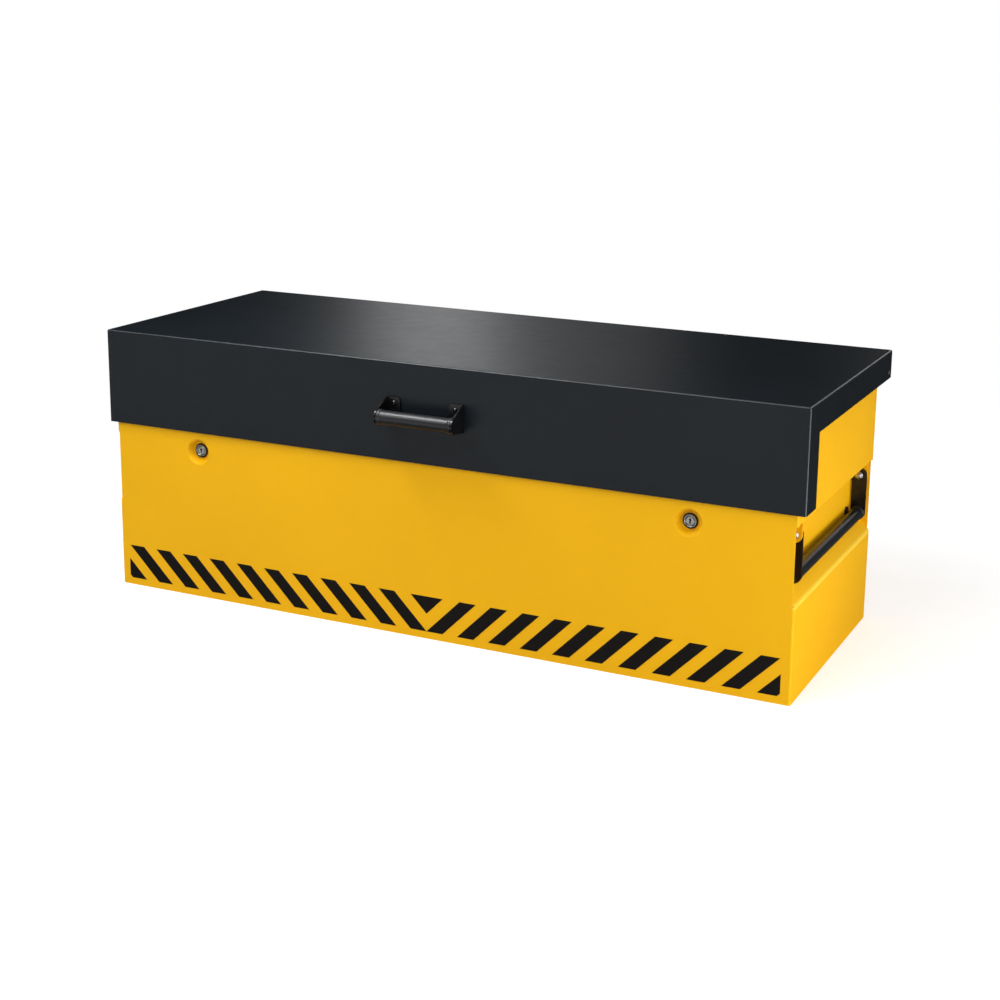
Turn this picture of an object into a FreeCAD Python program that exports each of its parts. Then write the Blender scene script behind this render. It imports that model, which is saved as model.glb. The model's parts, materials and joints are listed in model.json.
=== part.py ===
import FreeCAD, Part
import math
import os

from FreeCAD import Vector

# Jobsite storage box: a welded sheet-steel chest with a hinged overhanging lid, two
# key locks with swinging hooks, two gas struts and a drop handle at each end.
# Millimetres. X runs along the box, Y from the front to the back, Z up.
# The origin is the middle of the floor's underside.

# ---- driving dimensions ----------------------------------------------------------

# overall
body_width = 1310.0
body_depth = 466.0
overall_height = 490.0
side_overhang = 12.5       # of the lid over each end of the body
back_overhang = 44.0       # of the lid over the back of the body
skirt_gap = 3.0            # between the body's front and the lid's skirt
lid_headroom = 14.0        # between the rim and the underside of the lid

# sheet metal
lid_sheet = 2.0
body_sheet = 2.0
lid_fold = 3.0             # outer radius of the lid's folds
bend = 2.0                 # inner radius of every other fold
weld_gap = 0.2             # where a tray or a plate is set inside another
pan_flange = 20.0

# lid
skirt_height = 174.0
skirt_return = 54.0
flange_height = 50.0
rib_depth = 22.0
rib_crown = 50.0
rib_foot = 14.0
rib_sheet = 1.5
rib_end = 70.0             # from each end of the body to the ribs
rib_side = 123.0           # from the body's front and back to the middle of each rib

# rim and seal
rim_width = 28.0
rim_lip = 14.0
seal_inset = 5.0
seal_width = 12.0
seal_corner = 10.0         # inner radius of the seal's corners
seal_bevel = 3.5
touch_gap = 0.3            # between parts that only just clear each other

# trough in each end
trough_drop = 20.0         # from the skirt's bottom edge to the trough's top
trough_height = 131.0
trough_depth = 30.0
trough_rise = 35.0         # height of its sloping floor

# end handles
handle_inset = 35.0        # from the body's front and back to each arm
arm_thick = 5.0
arm_radius = 13.0
bar_rise = 6.0             # from the top of the trough's slope to the middle of the bar
pivot_drop = 21.0          # below the trough's top
arm_off_wall = 2.5         # between each arm and the trough's wall
pivot_radius = 4.0
running = 0.05             # radial clearance of a shaft that turns or slides
ear_thick = 4.0
ear_gap = 0.5
bar_radius = 8.0
bar_wall = 2.0
grip_radius = 11.5
collar_rise = 1.5          # of a sleeve's end collars above it
collar_length = 6.0
collar_bevel = 1.2
bolt_head_radius = 7.5
bolt_head_height = 4.5
bolt_head_bevel = 2.2
dome_nut_radius = 7.0
dome_nut_height = 8.0
dome_nut_bevel = 2.8
bumper_radius = 8.0
bumper_rise = 7.0          # above the middle of the bar
bumper_inset = 26.0        # from each arm towards the middle of the bar
bumper_bevel = 1.0

# pull handle on the lid
pull_width = 148.0
pull_plate = 3.0
pull_flange = 27.0
pull_height = 48.0
pull_above_edge = 64.0     # from the skirt's bottom edge to the brackets
pull_reach = 34.0          # from the skirt to the middle of the bar
pull_bar_rise = 19.0       # from the brackets' lower edge to the middle of the bar
pull_nose = 14.0           # radius of each bracket's round end
pull_grip_radius = 12.5
pull_corner = 6.0
rivet_radius = 2.4
rivet_head = 4.6
rivet_height = 2.6
rivet_bevel = 1.8
rivet_tail = 1.2
rivet_tail_radius = 4.1
rivet_spacing = 28.0

# locks
lock_inset = 181.0         # from the end of the body
lock_below_edge = 37.0     # from the skirt's bottom edge down to the lock
dish_radius = 23.0
dish_floor = 17.5
dish_depth = 12.0
dish_brim = 4.0            # width of the flat sheet joined round the dish
dish_bend = 3.5
cylinder_flange = 13.0
cylinder_flange_thick = 3.0
cylinder_radius = 11.0
cylinder_length = 26.0
plug_radius = 8.0
plug_recess = 0.5
keyway_width = 2.2
keyway_height = 9.0
keyway_depth = 20.0
keyway_ward = 2.1          # radius of the keyway's round part
keyway_ward_rise = 2.0
gasket_radius = 15.5
gasket_thick = 2.0
tail_width = 8.0
tail_round = 5.2           # half the diameter of the tail's rounded corners
flange_bevel = 0.8
nut_flats = 28.0
nut_thick = 6.0
cam_thick = 5.0
cam_hub = 9.5
cam_throw = 10.0
cam_pin_radius = 2.5
cam_end = 5.5
pin_play = 0.7             # the straight-line share of the swing needs this
lever_thick = 5.0
lever_clear = 1.5          # between the cam and the lever
lever_drop = 62.0          # from the lever's pivot down to the lock
hook_drop = 29.0           # from the underside of the lid to the hook
lever_half = 9.0
hook_length = 20.0
hook_height = 12.0
hook_round = 4.0
lever_boss = 13.0
key_turn = 90.0
lock_case_width = 60.0
lock_case_below = 29.0
lock_case_drop = 88.0      # from the underside of the lid to the top of the case
lock_case_flange = 12.0
lock_case_slot = 42.0
pivot_head_radius = 7.0
pivot_head_thick = 2.5
washer_gap = 0.5

# strikers under the lid
striker_thick = 4.0
striker_foot = 24.0
striker_width = 29.0
striker_window = 13.0
striker_window_height = 20.0
striker_ledge = 12.0
striker_inset = 28.0       # from the lock's middle towards the box's middle
striker_play = 2.0         # extra depth of the window under the hook
striker_round = 6.0

# hinge
hinge_inset = 15.0         # from the lid's back face
hinge_drop = 39.0          # from the lid's top
hinge_rod_radius = 5.0
hinge_rod_bevel = 1.0
hinge_knuckle = 9.0
hinge_end = 175.0          # from each end of the body to the outer hinges
hinge_plate = 3.0
hinge_plate_height = 40.0
hinge_ear_step = 2.0       # between an ear's root and the plate's edge
bracket_half = 32.0
lug_half = 20.0
lug_front = 22.0
lug_clear = 4.0            # from a lug's plate to the lid's back face
hinge_bolt_radius = 3.0
hinge_bolt_flats = 10.0
hinge_bolt_head = 4.0
hinge_nut = 5.0
hinge_bolt_reach = 11.0    # half the height between the bolts of a bracket
hinge_bolt_side = 20.0     # half the width between them
bush_radius = 8.0
clip_thick = 2.0
clip_radius = 9.0

# gas struts
strut_inset = 52.0         # from the body's end face
strut_foot_back = 150.0    # in front of the hinge line
strut_foot_drop = 225.0    # below the hinge line
strut_head_rise = 12.0     # above the hinge line
strut_tube_radius = 10.0
strut_bore = 8.5
strut_tube_length = 192.0
strut_rod_radius = 4.0
strut_eye = 9.0
strut_eye_half = 6.0
strut_pin_radius = 5.0
strut_head_radius = 7.0
strut_clip_radius = 8.0
strut_cap = 5.0
strut_piston = 8.0
strut_plate = 3.0
strut_plate_width = 40.0
strut_plate_height = 36.0
strut_plate_round = 8.0
strut_ear = 4.0
strut_ear_radius = 12.0
strut_foot_width = 36.0    # of the angle under the lid
strut_foot_reach = 19.7
lid_opens = 75.0           # degrees

# holes in the floor for bolting down
floor_hole_radius = 5.5
floor_hole_end = 155.0     # from each end of the body
floor_hole_side = 93.0     # from the front and the back of the body

# ---- places worked out from them ---------------------------------------------------

half_body = body_width / 2
body_front = -body_depth / 2
body_back = body_depth / 2
front_inside = body_front + body_sheet
back_inside = body_back - body_sheet
outer_bend = bend + body_sheet
lid_half = half_body + side_overhang
lid_front = body_front - skirt_gap - lid_sheet
lid_back = body_back + back_overhang
lid_under = overall_height - lid_sheet
skirt_bottom = overall_height - skirt_height
rim_top = lid_under - lid_headroom
panel_top = rim_top - body_sheet
trough_high = skirt_bottom - trough_drop
trough_low = trough_high - trough_height
trough_wall = half_body - trough_depth
wall_inside = trough_wall - body_sheet
pivot_x = trough_wall + arm_off_wall + arm_radius
pivot_height = trough_high - pivot_drop
bar_height = trough_low + trough_rise + bar_rise
bumper_height = bar_height + bumper_rise
handle_reach = body_back - handle_inset
arm_inner = handle_reach - arm_thick / 2
arm_outer = handle_reach + arm_thick / 2
ear_inner = arm_outer + ear_gap
ear_outer = ear_inner + ear_thick
pull_base = skirt_bottom + pull_above_edge
pull_bar_height = pull_base + pull_bar_rise
hinge_y = lid_back - hinge_inset
hinge_z = overall_height - hinge_drop
hinge_places = (hinge_end - half_body, 0.0, half_body - hinge_end)
lock_offset = half_body - lock_inset
lock_height = skirt_bottom - lock_below_edge
dish_face = body_front + dish_depth
dish_back = dish_face + body_sheet
cylinder_end = dish_face + cylinder_length
cam_front = cylinder_end + 2 * pin_play
cam_back = cam_front + cam_thick
lever_front = cam_back + lever_clear
lever_back = lever_front + lever_thick
case_back = lever_back + pivot_head_thick + 2 * washer_gap
lever_pivot_z = lock_height + lever_drop
lever_middle = (lever_front + lever_back) / 2
hook_z = lid_under - hook_drop
half_swing = math.degrees(math.atan2(cam_throw * math.sin(math.radians(key_turn / 2)),
                                     lever_drop - cam_throw * math.cos(math.radians(key_turn / 2))))
strut_offset = half_body - strut_inset
strut_y = hinge_y - strut_foot_back
strut_foot_z = hinge_z - strut_foot_drop
strut_head_z = hinge_z + strut_head_rise
strut_neck = strut_eye_half + touch_gap

floor_hole_x = half_body - floor_hole_end
floor_hole_y = body_back - floor_hole_side
rib_offset = body_back - rib_side


# ---- helpers -----------------------------------------------------------------------

def block(x0, x1, y0, y1, z0, z1):
    """A box between two corners."""
    return Part.makeBox(x1 - x0, y1 - y0, z1 - z0, Vector(x0, y0, z0))


def rod_x(radius, x0, x1, y, z):
    return Part.makeCylinder(radius, x1 - x0, Vector(x0, y, z), Vector(1, 0, 0))


def rod_y(radius, y0, y1, x, z):
    return Part.makeCylinder(radius, y1 - y0, Vector(x, y0, z), Vector(0, 1, 0))


def rod_z(radius, z0, z1, x, y):
    return Part.makeCylinder(radius, z1 - z0, Vector(x, y, z0), Vector(0, 0, 1))


def hexagon_y(flats, y0, y1, x, z):
    """A hexagonal prism along Y, sized across its flats."""
    reach = flats / math.sqrt(3)
    turns = [math.radians(60 * i) for i in range(7)]
    corners = [Vector(x + reach * math.cos(a), y0, z + reach * math.sin(a)) for a in turns]
    return Part.Face(Part.makePolygon(corners)).extrude(Vector(0, y1 - y0, 0))


def fused(shapes):
    """One clean solid from overlapping or touching shapes."""
    shape = shapes[0].fuse(shapes[1:]) if len(shapes) > 1 else shapes[0]
    return shape.removeSplitter()


def mirrored(shape):
    """The same piece for the other end of the box."""
    return shape.mirror(Vector(0, 0, 0), Vector(1, 0, 0))


def rounded(shape, radius, wanted):
    """Fillets the edges whose middle and direction pass a test."""
    edges = [e for e in shape.Edges if wanted(e.CenterOfMass, e)]
    return shape.makeFillet(radius, edges) if edges else shape


def chamfered(shape, size, wanted):
    """Bevels the round edges whose middle and curve pass a test."""
    edges = [e for e in shape.Edges if len(e.Vertexes) == 1 and wanted(e.CenterOfMass, e)]
    return shape.makeChamfer(size, edges)


def runs_along(edge, axis):
    """True for a straight edge parallel to an axis."""
    if len(edge.Vertexes) != 2 or not isinstance(edge.Curve, (Part.Line, Part.LineSegment)):
        return False
    way = edge.Vertexes[1].Point.sub(edge.Vertexes[0].Point)
    return abs(way.normalize().dot(axis)) > 0.999


def near(a, b):
    return abs(a - b) < 0.01


def outline(points, radii, place):
    """Straight edges joined by arcs, through 2-D corners, with one radius for each."""
    edges = []
    here = points[0]
    for i in range(1, len(points)):
        if i == len(points) - 1:
            stop = points[i]
            following = None
        else:
            ax, ay = points[i - 1][0] - points[i][0], points[i - 1][1] - points[i][1]
            bx, by = points[i + 1][0] - points[i][0], points[i + 1][1] - points[i][1]
            la, lb = math.hypot(ax, ay), math.hypot(bx, by)
            ax, ay, bx, by = ax / la, ay / la, bx / lb, by / lb
            half = math.acos(max(-1.0, min(1.0, ax * bx + ay * by))) / 2
            back = radii[i] / math.tan(half)
            stop = (points[i][0] + ax * back, points[i][1] + ay * back)
            following = (points[i][0] + bx * back, points[i][1] + by * back)
            mx, my = ax + bx, ay + by
            lm = math.hypot(mx, my)
            reach = radii[i] / math.sin(half) - radii[i]
            middle = (points[i][0] + mx / lm * reach, points[i][1] + my / lm * reach)
        if math.hypot(stop[0] - here[0], stop[1] - here[1]) > 1e-6:
            edges.append(Part.LineSegment(place(*here), place(*stop)).toShape())
        if following is None:
            here = stop
        elif radii[i] > 1e-6:
            edges.append(Part.Arc(place(*stop), place(*middle), place(*following)).toShape())
            here = following
        else:
            here = points[i]
    return edges


def folded(path, thick, place, travel):
    """Sheet of one thickness folded along a path; it lies to the left of the path."""
    count = len(path)
    ways = []
    for i in range(count - 1):
        dx, dy = path[i + 1][0] - path[i][0], path[i + 1][1] - path[i][1]
        length = math.hypot(dx, dy)
        ways.append((dx / length, dy / length))
    other = []
    face_radii = [0.0] * count
    other_radii = [0.0] * count
    for i in range(count):
        before = ways[max(i - 1, 0)]
        after = ways[min(i, count - 2)]
        nx, ny = -(before[1] + after[1]), before[0] + after[0]
        scale = thick * 2 / (nx * nx + ny * ny)
        other.append((path[i][0] + nx * scale, path[i][1] + ny * scale))
        turn = before[0] * after[1] - before[1] * after[0]
        if turn > 1e-9:
            face_radii[i] = bend + thick
            other_radii[i] = bend
        elif turn < -1e-9:
            face_radii[i] = bend
            other_radii[i] = bend + thick
    edges = outline(path, face_radii, place)
    edges.append(Part.LineSegment(place(*path[-1]), place(*other[-1])).toShape())
    edges += outline(other[::-1], other_radii[::-1], place)
    edges.append(Part.LineSegment(place(*other[0]), place(*path[0])).toShape())
    face = Part.Face(Part.Wire(Part.__sortEdges__(edges)))
    return face.extrude(travel)


def tangent_point(point, centre, radius, side):
    """Where a line from a point touches a circle; side is +1 or -1."""
    dx, dy = centre[0] - point[0], centre[1] - point[1]
    far = math.hypot(dx, dy)
    angle = math.atan2(dy, dx) + side * math.asin(radius / far)
    reach = math.sqrt(far * far - radius * radius)
    return (point[0] + reach * math.cos(angle), point[1] + reach * math.sin(angle))


def ear_plate(corner_a, corner_b, centre, radius, hole, x0, x1):
    """A plate across X with two corners at its root and a round end about a hole.

    Corners and centre are (y, z). The first corner is on the left of the way to the centre.
    """
    touch_a = tangent_point(corner_a, centre, radius, 1)
    touch_b = tangent_point(corner_b, centre, radius, -1)
    corners = [corner_a, touch_a, centre, touch_b, corner_b, corner_a]
    wire = Part.makePolygon([Vector(x0, y, z) for y, z in corners])
    web = Part.Face(wire).extrude(Vector(x1 - x0, 0, 0))
    end = rod_x(radius, x0, x1, *centre)
    plate = fused([web, end])
    if hole > 0:
        plate = plate.cut(rod_x(hole, x0 - 1, x1 + 1, *centre))
    return plate


def ring(half_x, half_y, corner, width, z0, z1):
    """A flat rectangular ring about the Z axis with round corners."""
    outer = block(-half_x, half_x, -half_y, half_y, z0, z1)
    inner = block(-half_x + width, half_x - width, -half_y + width, half_y - width, z0 - 1, z1 + 1)
    up = Vector(0, 0, 1)
    outer = rounded(outer, corner, lambda c, e: runs_along(e, up))
    inner = rounded(inner, max(corner - width, bend), lambda c, e: runs_along(e, up))
    return outer.cut(inner)


def save(name, shapes):
    """Writes one node: a solid, or a group of separate solids."""
    if not isinstance(shapes, list):
        shapes = [shapes]
    solids = [s for shape in shapes for s in shape.Solids]
    node = solids[0] if len(solids) == 1 else Part.makeCompound(solids)
    node.exportStep("parts/" + name + ".step")


def save_pair(name, shape):
    """Writes the right-hand piece and its mirror image."""
    save(name + "_right", shape)
    save(name + "_left", mirrored(shape))


# ---- body --------------------------------------------------------------------------

def base_pan():
    """The floor: a folded tray with four holes for bolting the box down."""
    half_x = half_body - body_sheet - weld_gap
    half_y = back_inside - weld_gap
    up = Vector(0, 0, 1)
    tray = block(-half_x, half_x, -half_y, half_y, 0, pan_flange)
    tray = rounded(tray, bend + body_sheet, lambda c, e: runs_along(e, up) or near(c.z, 0))
    hollow = block(-half_x + body_sheet, half_x - body_sheet, -half_y + body_sheet,
                   half_y - body_sheet, body_sheet, pan_flange + 1)
    hollow = rounded(hollow, bend, lambda c, e: runs_along(e, up) or near(c.z, body_sheet))
    tray = tray.cut(hollow)
    for x in (-floor_hole_x, floor_hole_x):
        for y in (-floor_hole_y, floor_hole_y):
            tray = tray.cut(rod_z(floor_hole_radius, -1, body_sheet + 1, x, y))
    return tray


def lock_dish(x):
    """The pressed dish that a lock sits in, as a ring of sheet about the lock's axis."""
    brim = dish_radius + dish_brim
    draw = dish_radius - dish_floor
    behind = body_sheet * (math.hypot(draw, dish_depth) - draw) / dish_depth
    profile = [(brim, body_front), (dish_radius, body_front), (dish_floor, dish_face),
               (cylinder_radius + running, dish_face), (cylinder_radius + running, dish_back),
               (dish_floor + behind, dish_back), (dish_radius + behind, front_inside),
               (brim, front_inside), (brim, body_front)]
    wire = Part.makePolygon([Vector(r, y, 0) for r, y in profile])
    dish = Part.Face(wire).revolve(Vector(0, 0, 0), Vector(0, 1, 0), 360)
    rim = rounded(dish, dish_bend, lambda c, e: near(c.y, body_front) and len(e.Vertexes) == 1
                  and near(e.Curve.Radius, dish_radius))
    rim.translate(Vector(x, 0, lock_height))
    return rim


def wall_panel(front):
    """A front or back wall that wraps round both corners, except beside the troughs."""
    path = [(-half_body, body_front + outer_bend), (-half_body, body_front),
            (half_body, body_front), (half_body, body_front + outer_bend)]
    place = lambda x, y: Vector(x, y, 0)
    panel = folded(path, body_sheet, place, Vector(0, 0, panel_top))
    for side in (-1, 1):
        near_x = side * (half_body - outer_bend)
        far_x = side * (half_body + 1)
        panel = panel.cut(block(min(near_x, far_x), max(near_x, far_x), body_front - 1,
                                body_front + outer_bend + 1, trough_low, trough_high))
    if not front:
        panel = panel.mirror(Vector(0, 0, 0), Vector(0, 1, 0))
        for station in hinge_places:
            for x, z in hinge_bolt_places(station):
                panel = panel.cut(rod_y(hinge_bolt_radius, back_inside - 1, body_back + 1, x, z))
        return panel
    for x in (-lock_offset, lock_offset):
        brim = dish_radius + dish_brim
        panel = panel.cut(rod_y(brim, body_front - 1, front_inside + 1, x, lock_height))
        panel = panel.fuse(lock_dish(x)).removeSplitter()
    return panel


def end_panel():
    """An end wall with the trough for the drop handle folded into it."""
    path = [(half_body, 0), (half_body, trough_low), (trough_wall, trough_low + trough_rise),
            (trough_wall, trough_high), (half_body, trough_high), (half_body, panel_top)]
    place = lambda x, z: Vector(x, front_inside, z)
    panel = folded(path, body_sheet, place, Vector(0, back_inside - front_inside, 0))
    for y0, y1 in ((front_inside - 1, body_front + outer_bend),
                   (body_back - outer_bend, back_inside + 1)):
        for z0, z1 in ((-1, trough_low), (trough_high, panel_top + 1)):
            panel = panel.cut(block(half_body - outer_bend, half_body + 1, y0, y1, z0, z1))
    return panel


def rim_channel():
    """The folded frame on top of the walls that stiffens the mouth and carries the seal."""
    top = ring(half_body, body_back, outer_bend, rim_width, panel_top, rim_top)
    lip = ring(half_body - rim_width + body_sheet, body_back - rim_width + body_sheet,
               outer_bend, body_sheet, rim_top - rim_lip, rim_top)
    return fused([top, lip])


def rim_seal():
    """A rubber strip all round the mouth, domed where the lid presses on it."""
    top = lid_under - touch_gap
    strip = ring(half_body - seal_inset, body_back - seal_inset, seal_corner + seal_width,
                 seal_width, rim_top, top)
    edges = [e for e in strip.Edges if near(e.CenterOfMass.z, top)]
    return strip.makeChamfer(seal_bevel, edges)


# ---- end handles ---------------------------------------------------------------------

def handle_ears():
    """Two plates under the top of the trough that carry the handle's pivots."""
    ears = []
    for side in (-1, 1):
        y0, y1 = sorted((side * ear_inner, side * ear_outer))
        web = block(trough_wall, pivot_x + arm_radius, y0, y1, pivot_height, trough_high)
        end = rod_y(arm_radius, y0, y1, pivot_x, pivot_height)
        foot = block(trough_wall, pivot_x, y0, y1, pivot_height - arm_radius, pivot_height)
        ear = fused([web, end, foot])
        ear = rounded(ear, bend, lambda c, e: near(c.x, trough_wall) and near(c.z, trough_high))
        ears.append(ear.cut(rod_y(pivot_radius, y0 - 1, y1 + 1, pivot_x, pivot_height)))
    return ears


def bail_frame():
    """Two flat arms welded to a cross tube."""
    pieces = []
    for side in (-1, 1):
        y0, y1 = sorted((side * arm_inner, side * arm_outer))
        strap = block(pivot_x - arm_radius, pivot_x + arm_radius, y0, y1, bar_height, pivot_height)
        ends = [rod_y(arm_radius, y0, y1, pivot_x, z) for z in (bar_height, pivot_height)]
        pieces += [strap] + ends
    pieces.append(rod_y(bar_radius, -arm_inner, arm_inner, pivot_x, bar_height))
    frame = fused(pieces)
    bore = rod_y(bar_radius - bar_wall, -arm_inner, arm_inner, pivot_x, bar_height)
    frame = frame.cut(bore)
    return frame.cut(rod_y(pivot_radius + running, -ear_outer, ear_outer, pivot_x, pivot_height))


def grip_tube(radius, bore, length, x, z):
    """A moulded sleeve along Y with a collar at each end."""
    half = length / 2
    collar = radius + collar_rise
    sleeve = rod_y(radius, -half, half, x, z)
    ends = [rod_y(collar, -half, -half + collar_length, x, z),
            rod_y(collar, half - collar_length, half, x, z)]
    shape = fused([sleeve] + ends)
    shape = chamfered(shape, collar_bevel, lambda c, e: near(e.Curve.Radius, collar))
    return shape.cut(rod_y(bore, -half - 1, half + 1, x, z))


def bail_pivots():
    """Shoulder bolts with domed heads outside the ears, and dome nuts inside the arms."""
    bolts = []
    nuts = []
    for side in (-1, 1):
        y0, y1 = sorted((side * (arm_inner - dome_nut_height / 2), side * ear_outer))
        shank = rod_y(pivot_radius, y0, y1, pivot_x, pivot_height)
        h0, h1 = sorted((side * ear_outer, side * (ear_outer + bolt_head_height)))
        head = rod_y(bolt_head_radius, h0, h1, pivot_x, pivot_height)
        tip = side * (ear_outer + bolt_head_height)
        head = chamfered(head, bolt_head_bevel, lambda c, e: near(c.y, tip))
        bolts.append(fused([shank, head]))
        n0, n1 = sorted((side * (arm_inner - touch_gap), side * (arm_inner - touch_gap - dome_nut_height)))
        nut = rod_y(dome_nut_radius, n0, n1, pivot_x, pivot_height)
        inner = side * (arm_inner - touch_gap - dome_nut_height)
        nut = chamfered(nut, dome_nut_bevel, lambda c, e: near(c.y, inner))
        nuts.append(nut.cut(shank))
    return bolts, nuts


def handle_bumpers():
    """Rubber buttons on the trough wall that the grip rests against."""
    top = pivot_x - grip_radius - touch_gap
    spread = handle_reach - bumper_inset
    buttons = []
    for y in (-spread, spread):
        button = rod_x(bumper_radius, trough_wall, top, y, bumper_height)
        buttons.append(chamfered(button, bumper_bevel, lambda c, e: near(c.x, top)))
    return buttons


# ---- locks ---------------------------------------------------------------------------

def lock_cylinder():
    """The fixed barrel with its flange on the floor of the dish."""
    face = dish_face - cylinder_flange_thick
    flange = rod_y(cylinder_flange, face, dish_face, lock_offset, lock_height)
    flange = chamfered(flange, flange_bevel, lambda c, e: near(c.y, face))
    barrel = rod_y(cylinder_radius, dish_face, cylinder_end, lock_offset, lock_height)
    bore = rod_y(plug_radius + running, face - 1, cylinder_end + 1, lock_offset, lock_height)
    return fused([flange, barrel]).cut(bore)


def lock_gasket():
    """A dark ring round the cylinder's flange that keeps water out of the dish."""
    ring_face = dish_face - gasket_thick
    outer = rod_y(gasket_radius, ring_face, dish_face, lock_offset, lock_height)
    return outer.cut(rod_y(cylinder_flange, ring_face - 1, dish_face + 1, lock_offset, lock_height))


def lock_nut():
    """The hexagon nut that clamps the cylinder to the dish."""
    nut = hexagon_y(nut_flats, dish_back, dish_back + nut_thick, lock_offset, lock_height)
    return nut.cut(rod_y(cylinder_radius, dish_back - 1, dish_back + nut_thick + 1, lock_offset, lock_height))


def about_lock(shape, angle):
    """Turns a piece about the lock's axis."""
    shape.rotate(Vector(lock_offset, 0, lock_height), Vector(0, 1, 0), angle)
    return shape


def lock_plug():
    """The turning plug: keyway in front, square tail behind."""
    face = dish_face - cylinder_flange_thick + plug_recess
    back = cam_front - pin_play
    body = rod_y(plug_radius, face, back, lock_offset, lock_height)
    half = tail_width / 2
    tail = block(lock_offset - half, lock_offset + half, back, cam_back + lever_clear / 2,
                 lock_height - half, lock_height + half)
    tail = tail.common(rod_y(tail_round, back, lever_front, lock_offset, lock_height))
    slot = block(lock_offset - keyway_width / 2, lock_offset + keyway_width / 2, face - 1,
                 face + keyway_depth, lock_height - keyway_height / 2, lock_height + keyway_height / 2)
    ward = rod_y(keyway_ward, face - 1, face + keyway_depth, lock_offset,
                 lock_height + keyway_ward_rise)
    return fused([body, about_lock(tail, -key_turn / 2)]).cut(fused([slot, ward]))


def lock_cam():
    """The cam on the plug's tail, with the pin that drives the hook lever."""
    hub = rod_y(cam_hub, cam_front, cam_back, lock_offset, lock_height)
    arm = block(lock_offset - cam_end, lock_offset + cam_end, cam_front, cam_back,
                lock_height, lock_height + cam_throw)
    end = rod_y(cam_end, cam_front, cam_back, lock_offset, lock_height + cam_throw)
    pin = rod_y(cam_pin_radius, cam_back, lever_back + washer_gap, lock_offset, lock_height + cam_throw)
    half = tail_width / 2
    hole = block(lock_offset - half, lock_offset + half, cam_front - 1, cam_back + 1,
                 lock_height - half, lock_height + half)
    hole = hole.common(rod_y(tail_round + running, cam_front - 1, cam_back + 1,
                             lock_offset, lock_height))
    return about_lock(fused([hub, arm, end, pin]).cut(hole), -key_turn / 2)


def lock_lever():
    """The lever that the cam swings; its hook goes through the lid's striker."""
    x = lock_offset
    z = lever_pivot_z
    fork_end = lever_drop - cam_throw * math.cos(math.radians(key_turn / 2)) + 2 * cam_pin_radius
    stem = block(x - lever_half, x + lever_half, lever_front, lever_back,
                 z - fork_end, hook_z + hook_height / 2)
    hook = block(x - lever_half - hook_length, x, lever_front, lever_back,
                 hook_z - hook_height / 2, hook_z + hook_height / 2)
    boss = rod_y(lever_boss, lever_front, lever_back, x, z)
    lever = fused([stem, hook, boss])
    slot_half = cam_pin_radius + pin_play
    slot_top = z - lever_drop + cam_throw + slot_half
    slot = fused([block(x - slot_half, x + slot_half, lever_front - 1, lever_back + 1,
                        z - fork_end - 1, slot_top),
                  rod_y(slot_half, lever_front - 1, lever_back + 1, x, slot_top)])
    lever = lever.cut(slot)
    lever = lever.cut(rod_y(pivot_radius + running, lever_front - 1, lever_back + 1, x, z))
    across = Vector(0, 1, 0)
    inner_corner = (x - lever_half, hook_z - hook_height / 2)
    top_corner = (x + lever_half, hook_z + hook_height / 2)
    lever = rounded(lever, hook_round, lambda c, e: runs_along(e, across) and any(
        near(c.x, cx) and near(c.z, cz) for cx, cz in (inner_corner, top_corner)))
    lever.rotate(Vector(x, 0, z), Vector(0, 1, 0), half_swing)
    return lever


def lock_pivot():
    """The pin that the lever turns on, riveted to the back of the lock case."""
    x = lock_offset
    z = lever_pivot_z
    head_back = lever_front - washer_gap
    pin = rod_y(pivot_radius, head_back - pivot_head_thick, case_back, x, z)
    head = rod_y(pivot_head_radius, head_back - pivot_head_thick, head_back, x, z)
    boss = rod_y(pivot_head_radius, lever_back + washer_gap, case_back, x, z)
    return fused([pin, head, boss])


def lock_case():
    """The guard box welded behind the front wall, open at the top for the lever."""
    x = lock_offset
    half = lock_case_width / 2
    low = lock_height - lock_case_below
    high = lid_under - lock_case_drop
    path = [(x - half - lock_case_flange, front_inside), (x - half, front_inside),
            (x - half, case_back), (x + half, case_back),
            (x + half, front_inside), (x + half + lock_case_flange, front_inside)]
    shell = folded(path, body_sheet, lambda a, b: Vector(a, b, low), Vector(0, 0, high - low))
    floor = block(x - half, x + half, front_inside, case_back, low, low + body_sheet)
    roof = block(x - half, x + half, front_inside, case_back, high - body_sheet, high)
    slot = block(x - lock_case_slot / 2, x + lock_case_slot / 2, lever_front - 2 * washer_gap,
                 lever_back + 2 * washer_gap, high - body_sheet - 1, high + 1)
    return fused([shell, floor, roof.cut(slot)])


def striker():
    """A plate under the lid with a window that the hook passes into."""
    x = lock_offset - striker_inset - striker_thick
    y0 = lever_middle - striker_width / 2
    bottom = hook_z - striker_window_height / 2 - striker_ledge
    foot_z = lid_under - striker_thick
    path = [(x - striker_foot, foot_z), (x, foot_z), (x, bottom)]
    plate = folded(path, striker_thick, lambda a, b: Vector(a, y0, b), Vector(0, striker_width, 0))
    window = block(x - 1, x + striker_thick + 1, lever_middle - striker_window / 2,
                   lever_middle + striker_window / 2,
                   hook_z - striker_window_height / 2 - striker_play, hook_z + striker_window_height / 2)
    plate = plate.cut(window)
    across = Vector(1, 0, 0)
    return rounded(plate, striker_round, lambda c, e: runs_along(e, across) and near(c.z, bottom))


# ---- lid -------------------------------------------------------------------------------

def rivet_places():
    """X and Z of the four rivets of the pull handle."""
    middle = pull_base + pull_height / 2
    inset = pull_width / 2 - pull_flange / 2 - pull_plate / 2
    return [(side * inset, middle + up * rivet_spacing / 2) for side in (-1, 1) for up in (-1, 1)]


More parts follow.
